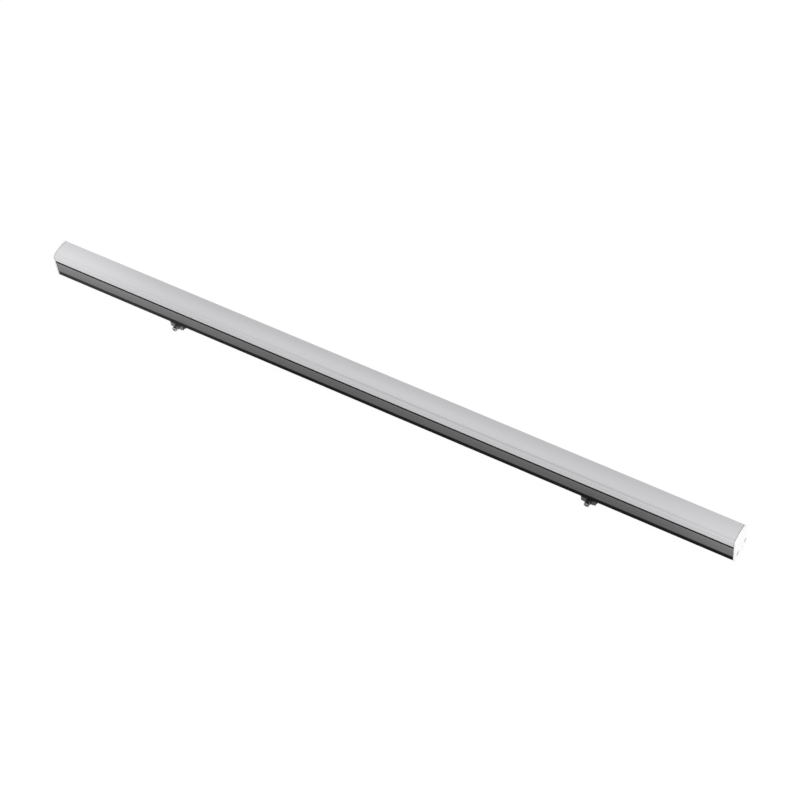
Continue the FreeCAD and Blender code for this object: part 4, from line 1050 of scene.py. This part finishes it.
@dataclass
class Cover:
    """The milky cover, one section drawn along the bar. Sizes are in mm."""

    end: float = 496.2
    side: float = 15.0
    top: float = 53.2
    crown: float = 1.6
    wall: float = 1.8
    corner: float = 3.0
    inner_corner: float = 1.2
    shoulder: float = 40.8
    leg_outer: float = 13.0
    leg_inner: float = 11.4
    leg_foot: float = 34.2
    barb_reach: float = 0.7
    barb_low: float = 36.0
    barb_top: float = 36.6
    chamfer: float = 0.25
    arch_steps: int = 14
    rim_steps: int = 9
    bend_steps: int = 5

    @staticmethod
    def arc(centre: tuple[float, float], radius: float, start: float, end: float,
            steps: int) -> list[tuple[float, float]]:
        """Return points along an arc.

        Args:
            centre: Its centre.
            radius: Its radius.
            start: The first point's angle in degrees.
            end: The last point's angle in degrees.
            steps: How many runs it has.

        Returns:
            The points, both ends included.
        """
        angles = [math.radians(start + (end - start) * n / steps) for n in range(steps + 1)]
        return [(centre[0] + radius * math.cos(a), centre[1] + radius * math.sin(a)) for a in angles]

    def half(self) -> list[tuple[float, float]]:
        """Return the half section at positive y, from the top's middle round to the inside's middle."""
        level = self.top - self.crown
        flat = self.side - self.corner
        radius = (flat * flat + self.crown * self.crown) / (2 * self.crown)
        spread = math.degrees(math.asin(flat / radius))
        arch = self.arc((0.0, self.top - radius), radius, 90.0, 90.0 - spread, self.arch_steps)
        rim = self.arc((flat, level - self.corner), self.corner, 90.0, 0.0, self.rim_steps)
        inside = self.side - self.wall
        inner_top = level - self.wall
        step = self.shoulder + self.wall
        barb = self.leg_outer + self.barb_reach
        legs = [
            (self.side, self.shoulder + self.chamfer), (self.side - self.chamfer, self.shoulder),
            (self.leg_outer, self.shoulder), (self.leg_outer, self.barb_top),
            (barb, self.barb_top), (barb, self.barb_low),
            (self.leg_outer, self.leg_foot), (self.leg_inner, self.leg_foot), (self.leg_inner, step),
            (inside, step),
        ]
        bend = self.arc((inside - self.inner_corner, inner_top - self.inner_corner), self.inner_corner,
                        0.0, 90.0, self.bend_steps)
        ceiling = self.arc((0.0, inner_top + self.crown - radius), radius, 90.0 - spread, 90.0,
                           self.arch_steps)
        return arch + rim[1:] + legs + bend + ceiling[1:]

    def build(self) -> None:
        """Build the cover."""
        half = self.half()
        mirrored = [(-y, z) for y, z in reversed(half) if y > 1e-6]
        outline = list(reversed(half + mirrored))
        piece = SweptSection().draw("milky_cover_sweep", outline, -self.end, self.end, COVER)
        smoothed(piece, SHARP_ANGLE)
        settle_on(piece, "lamp", COVER, "diffuser")


@dataclass
class EndCap:
    """One white cap with its gasket and its two screws. Sizes are in mm."""

    side: Side
    fasteners: FastenerRun
    edge: float = 0.12
    head: tuple[float, float] = (2.8, 1.6)
    shank: tuple[float, float] = (1.4, 12.0)
    socket: tuple[float, float] = (1.0, 1.0)
    thread_start: float = 0.4
    thread_step: float = 0.175
    thread_rings: int = 60
    thread_depth: float = 0.25
    segments: int = 48

    def screw_rings(self) -> list[Ring]:
        """Return a cap screw's rings: its tip, its thread, its head and its socket."""
        radius, length = self.shank
        head_radius, head_height = self.head
        foot = -head_height
        turns = [Ring(radius, foot - self.thread_start - n * self.thread_step, thread=1.0)
                 for n in range(self.thread_rings)][::-1]
        return [
            Ring(radius * 0.55, foot - length), Ring(radius * 0.9, foot - length + 0.4), *turns,
            Ring(radius, foot), Ring(head_radius - 0.1, foot), Ring(head_radius, foot + 0.1),
            Ring(head_radius, -0.35), Ring(head_radius - 0.1, -0.12), Ring(head_radius - 0.35, 0.0),
            Ring(self.socket[0] + 0.12, 0.0, hexagonal=True), Ring(self.socket[0], -0.12, hexagonal=True),
            Ring(self.socket[0], -self.socket[1], hexagonal=True, hollow=True),
            Ring(self.socket[0] * 0.5, -self.socket[1] - 0.2, hollow=True),
        ]

    def build(self) -> None:
        """Build the cap and its screws, and dress the gasket."""
        word = self.side.word
        cap = softened(f"end_cap_{word}", f"cap_{word}", self.edge)
        settle_on(cap, "lamp", CAP, f"end_cap_{word}")
        dress(GASKET, f"end_gasket_{word}")
        low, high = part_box(f"cap_screws_{word}")
        sign = self.side.value
        face = (high.x if sign > 0 else low.x) / MM
        middle = (low.z + high.z) / 2 / MM
        reach = high.y / MM - self.head[0]
        axis = Axis.RIGHT if sign > 0 else Axis.LEFT
        places = [(face, -reach, middle), (face, reach, middle)]
        shape = turned("cap_screw", self.screw_rings(), self.segments)
        screws = self.fasteners.set_out(f"cap_screw_pair_{word}", shape, places, axis, STEEL,
                                        thread=self.thread_depth)
        settle_on(screws, "lamp", STEEL, f"cap_screws_{word}")


@dataclass
class CableInlet:
    """The sealed inlet in the left cap: a grommet and the ring behind it."""

    edge: float = 0.15

    def build(self) -> None:
        """Build the grommet and dress its ring."""
        grommet = softened("cable_grommet", "inlet_grommet", self.edge)
        settle_on(grommet, "lamp", GROMMET, "cable_grommet")
        dress(NYLON, "grommet_ring")


@dataclass
class LightEngine:
    """The LED boards, their LEDs with phosphor windows, and what holds and joins them. Sizes are in mm."""

    fasteners: FastenerRun
    row: EvenRow
    window: tuple[float, float] = (2.5, 1.8)
    window_rise: float = 0.12
    window_sink: float = 0.2
    leds_per_board: int = 24
    half_package: float = 1.75

    def gel(self, name: str) -> bpy.types.Object:
        """Make one phosphor window: a low rounded cushion about the origin.

        Args:
            name: The object's name.

        Returns:
            The object.
        """
        length, width = (value * MM for value in self.window)
        shape = bmesh.new()
        rings = ((1.0, 0.0), (1.0, 0.5), (0.86, 1.0))
        loops = []
        for share, rise in rings:
            corners = ((1, 1), (-1, 1), (-1, -1), (1, -1))
            loops.append([shape.verts.new((sx * length / 2 * share, sy * width / 2 * share,
                                           rise * self.window_rise * MM)) for sx, sy in corners])
        shape.faces.new(loops[0][::-1])
        shape.faces.new(loops[-1])
        for low, high in zip(loops, loops[1:]):
            for n in range(4):
                shape.faces.new((low[n], low[(n + 1) % 4], high[(n + 1) % 4], high[n]))
        mesh = bpy.data.meshes.new(name)
        shape.to_mesh(mesh)
        shape.free()
        return new_piece(name, mesh)

    def build(self) -> None:
        """Build the windows and dress the boards and their fittings."""
        for side in Side:
            word = side.word
            low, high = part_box(f"leds_{word}")
            first = low.x / MM + self.half_package
            run = high.x - low.x - 2 * self.half_package * MM
            pitch = run / (self.leds_per_board - 1) / MM
            place = (first, 0.0, high.z / MM - self.window_sink)
            gels = self.row.lay(self.gel(f"led_windows_{word}"), self.leds_per_board, place, pitch, GEL)
            settle_on(gels, "lamp", GEL)
            dress(BOARD, f"led_board_{word}")
            dress(LED, f"leds_{word}")
        dress(LINK, "board_link")
        dress(STEEL, "board_screws")
        dress(LEAD, "output_lead")


@dataclass
class Driver:
    """The driver in the chamber: its tray, its board and what stands on it."""

    finishes: dict[str, Finish] = field(default_factory=lambda: {
        "driver_tray": TRAY, "driver_board": DRIVER, "terminal_block": TERMINAL, "line_choke": FERRITE,
        "rectifier": EPOXY, "capacitors": SLEEVE, "transformer": FERRITE})

    def build(self) -> None:
        """Dress the driver's pieces."""
        for node, finish in self.finishes.items():
            dress(finish, node)


@dataclass
class ClampClip:
    """One clamp clip: foot plate, front jaw, washers, nut and the screw across them. Sizes are in mm."""

    side: Side
    fasteners: FastenerRun
    head_radius: float = 3.5
    head_height: float = 4.0
    socket: float = 1.5
    socket_depth: float = 2.2
    shank: float = 2.0
    pitch: float = 0.7
    turns_per_ring: int = 6
    segments: int = 96
    thread_depth: float = 0.35
    knurls: int = 32
    knurl_depth: float = 0.16
    foot_edge: float = 0.2
    jaw_edge: float = 0.15
    nut_edge: float = 0.12
    washer_edge: float = 0.1
    corner: float = 2.6
    corner_slack: float = 0.02
    squareness: float = 5.0

    def screw_rings(self, length: float) -> list[Ring]:
        """Return the clamp screw's rings from its tip to its socket, with the head's face at 0.

        Args:
            length: From the tip to the head's face.

        Returns:
            The rings.
        """
        step = self.pitch / self.turns_per_ring
        count = int((length - self.head_height - 1.2) / step)
        turns = [Ring(self.shank, -self.head_height - 0.6 - n * step, thread=1.0) for n in range(count)]
        head = self.head_radius
        return [
            Ring(self.shank * 0.6, -length), Ring(self.shank * 0.86, -length + 0.35), *turns[::-1],
            Ring(self.shank, -self.head_height), Ring(head - 0.3, -self.head_height),
            Ring(head, -self.head_height + 0.3, knurl=0.2), Ring(head, -self.head_height + 0.6, knurl=1.0),
            Ring(head, -0.8, knurl=1.0), Ring(head, -0.5, knurl=0.2), Ring(head - 0.15, -0.2),
            Ring(head - 0.45, 0.0), Ring(self.socket + 0.2, 0.0, hexagonal=True),
            Ring(self.socket, -0.2, hexagonal=True),
            Ring(self.socket, -self.socket_depth, hexagonal=True, hollow=True),
            Ring(self.socket * 0.5, -self.socket_depth - 0.35, hollow=True),
        ]

    def square_corners(self, shape: bmesh.types.BMesh) -> None:
        """Draw the jaw's two rounded lower corners out, so that they turn in a tighter arc.

        Args:
            shape: The jaw.
        """
        reach = self.corner * MM
        low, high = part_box(f"clip_jaw_{self.side.word}")
        for vert in shape.verts:
            for edge, sign in ((low.x, -1), (high.x, 1)):
                across = (vert.co.x - edge) * sign + reach
                down = low.z + reach - vert.co.z
                length = math.hypot(across, down)
                if across < 0 or down < 0 or abs(length - reach) > self.corner_slack * MM:
                    continue
                share = (across / length) ** self.squareness + (down / length) ** self.squareness
                stretch = reach / length / share ** (1 / self.squareness)
                vert.co.x = edge + sign * (across * stretch - reach)
                vert.co.z = low.z + reach - down * stretch

    def turned_steel(self, steel: TurnedSteel, centre: Vector) -> TurnedSteel:
        """Return a steel at this side's painted light level, turned about the clamp screw's axis.

        Args:
            steel: The steel.
            centre: A point of the axis.

        Returns:
            The side's own finish.
        """
        colour = tuple(STEEL_LIGHT_BY_SIDE[self.side] * part for part in steel.colour)
        return replace(steel, name=f"{steel.name}_{self.side.word}", colour=colour,
                       centre=tuple(centre), axis=Axis.FRONT)

    def build(self) -> None:
        """Build the clip's pieces on their three bodies."""
        word = self.side.word
        foot = softened(f"clip_base_{word}", f"clip_foot_{word}", self.foot_edge)
        settle_on(foot, f"clip_{word}", CLIPS_LIT_BY_SIDE[self.side], f"clip_base_{word}")
        jaw = softened(f"clip_jaw_{word}", f"front_jaw_{word}", self.jaw_edge,
                       reshape=self.square_corners)
        settle_on(jaw, f"jaw_{word}", CLIPS_LIT_BY_SIDE[self.side], f"clip_jaw_{word}")
        low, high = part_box(f"clamp_screw_{word}")
        centre = (low + high) / 2
        steel, dark = self.turned_steel(STEEL, centre), self.turned_steel(DARK_STEEL, centre)
        nut = softened(f"clip_nut_{word}", f"clamp_nut_{word}", self.nut_edge)
        settle_on(nut, f"clip_{word}", steel, f"clip_nut_{word}")
        for node in ("flat_washer", "spring_washer"):
            ring = softened(f"{node}_{word}", f"clamp_{node}_{word}", self.washer_edge)
            settle_on(ring, f"jaw_{word}", dark, f"{node}_{word}")
        length = (high.y - low.y) / MM
        place = (centre.x / MM, low.y / MM, centre.z / MM)
        shape = turned("socket_screw", self.screw_rings(length), self.segments)
        screw = self.fasteners.set_out(
            f"socket_screw_{word}", shape, [place], Axis.FRONT, steel, pitch=self.pitch,
            thread=self.thread_depth, knurls=self.knurls, knurl=self.knurl_depth)
        settle_on(screw, f"screw_{word}", steel, f"clamp_screw_{word}")


# ---------------------------------------------------------------------------------------------------------
# Studio
# ---------------------------------------------------------------------------------------------------------

@dataclass
class Lamp:
    """A soft square lamp."""

    name: str
    place: Point
    size: float
    power: float
    target: Point = (0.0, 0.0, 0.03)

    def build(self) -> None:
        """Make the lamp and point it at its target."""
        light = bpy.data.lights.new(self.name, "AREA")
        light.size = self.size
        light.energy = self.power
        lamp = bpy.data.objects.new(self.name, light)
        bpy.context.scene.collection.objects.link(lamp)
        lamp.location = self.place
        lamp.rotation_euler = (Vector(self.target) - Vector(self.place)).to_track_quat("-Z", "Y").to_euler()


@dataclass
class Studio:
    """Plain soft light on a pale floor."""

    sky: float = 0.66
    floor_size: float = 14.0
    floor_albedo: float = 0.72
    shadow_share: float = 0.06
    floor_white: float = 1.02
    gloss_share: float = 0.5
    lamps: tuple[Lamp, ...] = (
        Lamp("key", (-1.1, 0.85, 2.6), 1.3, 14.0),
        Lamp("front", (-0.5, -2.2, 1.3), 1.2, 24.0),
        Lamp("fill", (2.3, -0.3, 0.9), 1.0, 18.0),
    )

    def build(self) -> None:
        """Build the world, the floor and the lamps."""
        scene = bpy.context.scene
        scene.view_settings.view_transform = "Standard"
        self.build_world(scene)
        self.build_floor()
        for lamp in self.lamps:
            lamp.build()

    def rays(self, graph: Graph) -> tuple[Signal, Signal, Signal]:
        """Return whether a ray comes from the camera, a gloss or a see-through surface."""
        path = graph.node("ShaderNodeLightPath")
        names = ("Is Camera Ray", "Is Glossy Ray", "Is Transmission Ray")
        camera, glossy, through = (Signal(graph, path.outputs[name]) for name in names)
        return camera, glossy, through

    def build_world(self, scene: bpy.types.Scene) -> None:
        """Build a world that looks white and lights plainly.

        Args:
            scene: The scene.
        """
        world = bpy.data.worlds.new("studio")
        world.use_nodes = True
        world.node_tree.nodes.clear()
        graph = Graph(world.node_tree)
        camera, glossy, through = self.rays(graph)
        seen = graph.math("MINIMUM", camera + glossy + through, 1.0)
        strength = self.sky + seen * (1.0 - self.sky)
        light = graph.signal("ShaderNodeBackground",
                             values={"Color": (*WHITE, 1.0), "Strength": strength})
        graph.node("ShaderNodeOutputWorld", values={"Surface": light})
        scene.world = world

    def build_floor(self) -> None:
        """Build the floor, white to the camera apart from the object's soft shadow."""
        half = self.floor_size / 2
        mesh = bpy.data.meshes.new("floor")
        corners = [(-half, -half, 0.0), (half, -half, 0.0), (half, half, 0.0), (-half, half, 0.0)]
        mesh.from_pydata(corners, [], [(0, 1, 2, 3)])
        floor = new_piece("floor", mesh)
        surface = Surface("studio_floor")
        camera, glossy, through = self.rays(surface)
        seen = surface.math("MINIMUM", camera + through, 1.0)
        mirrored = surface.math("MINIMUM", seen + glossy, 1.0)
        pale = surface.mix(mirrored, (self.floor_albedo,) * 3, WHITE)
        matt = surface.signal("ShaderNodeBsdfDiffuse", values={"Color": pale})
        white = surface.signal("ShaderNodeEmission",
                               values={"Color": (*WHITE, 1.0), "Strength": self.floor_white})
        share = seen * (1.0 - self.shadow_share) + glossy * self.gloss_share
        mixed = surface.signal("ShaderNodeMixShader", values={0: share, 1: matt, 2: white})
        surface.node("ShaderNodeOutputMaterial", values={"Surface": mixed})
        mesh.materials.append(surface.material)


@dataclass
class PhotoCamera:
    """The camera at the photograph's angle: degrees, mm and pixels of a square frame."""

    azimuth: float = 36.32
    elevation: float = 52.37
    roll: float = -7.354
    distance: float = 2797.96
    focal_pixels: float = 2216.99
    frame_pixels: float = 800.0
    sensor: float = 36.0
    clip: tuple[float, float] = (0.05, 100.0)
    right: float = 26.134
    up: float = -13.022
    target: Point = (0.0, 0.0, 34.4)

    def build(self) -> None:
        """Make the camera and set it as the scene's."""
        a, e, r = (math.radians(v) for v in (self.azimuth, self.elevation, self.roll))
        back = Vector((math.sin(a) * math.cos(e), -math.cos(a) * math.cos(e), math.sin(e)))
        level = Vector((math.cos(a), math.sin(a), 0.0))
        over = back.cross(level)
        across = math.cos(r) * level + math.sin(r) * over
        upwards = -math.sin(r) * level + math.cos(r) * over
        data = bpy.data.cameras.new("photo_camera")
        data.sensor_width = self.sensor
        data.lens = self.sensor * self.focal_pixels / self.frame_pixels
        data.clip_start, data.clip_end = self.clip
        camera = bpy.data.objects.new("photo_camera", data)
        bpy.context.scene.collection.objects.link(camera)
        place = Vector(self.target) + back * self.distance + across * self.right + upwards * self.up
        turn = Matrix((across, upwards, back)).transposed()
        camera.matrix_world = Matrix.Translation(place * MM) @ turn.to_4x4()
        bpy.context.scene.camera = camera


def corners(box: Iterable[Vector]) -> list[list[float]]:
    """Return a box's two corners as plain lists."""
    return [[float(value) for value in corner] for corner in box]


def main() -> None:
    """Build the scene: camera, light, the lamp's sub-assemblies and the two clips."""
    logging.basicConfig(level=logging.INFO, format="%(message)s")
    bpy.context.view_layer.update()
    PhotoCamera().build()
    Studio().build()
    fasteners = FastenerRun()
    Housing().build()
    Cover().build()
    for side in Side:
        EndCap(side, fasteners).build()
    CableInlet().build()
    LightEngine(fasteners, EvenRow()).build()
    Driver().build()
    for side in Side:
        ClampClip(side, fasteners).build()


if __name__ == "__main__":
    main()
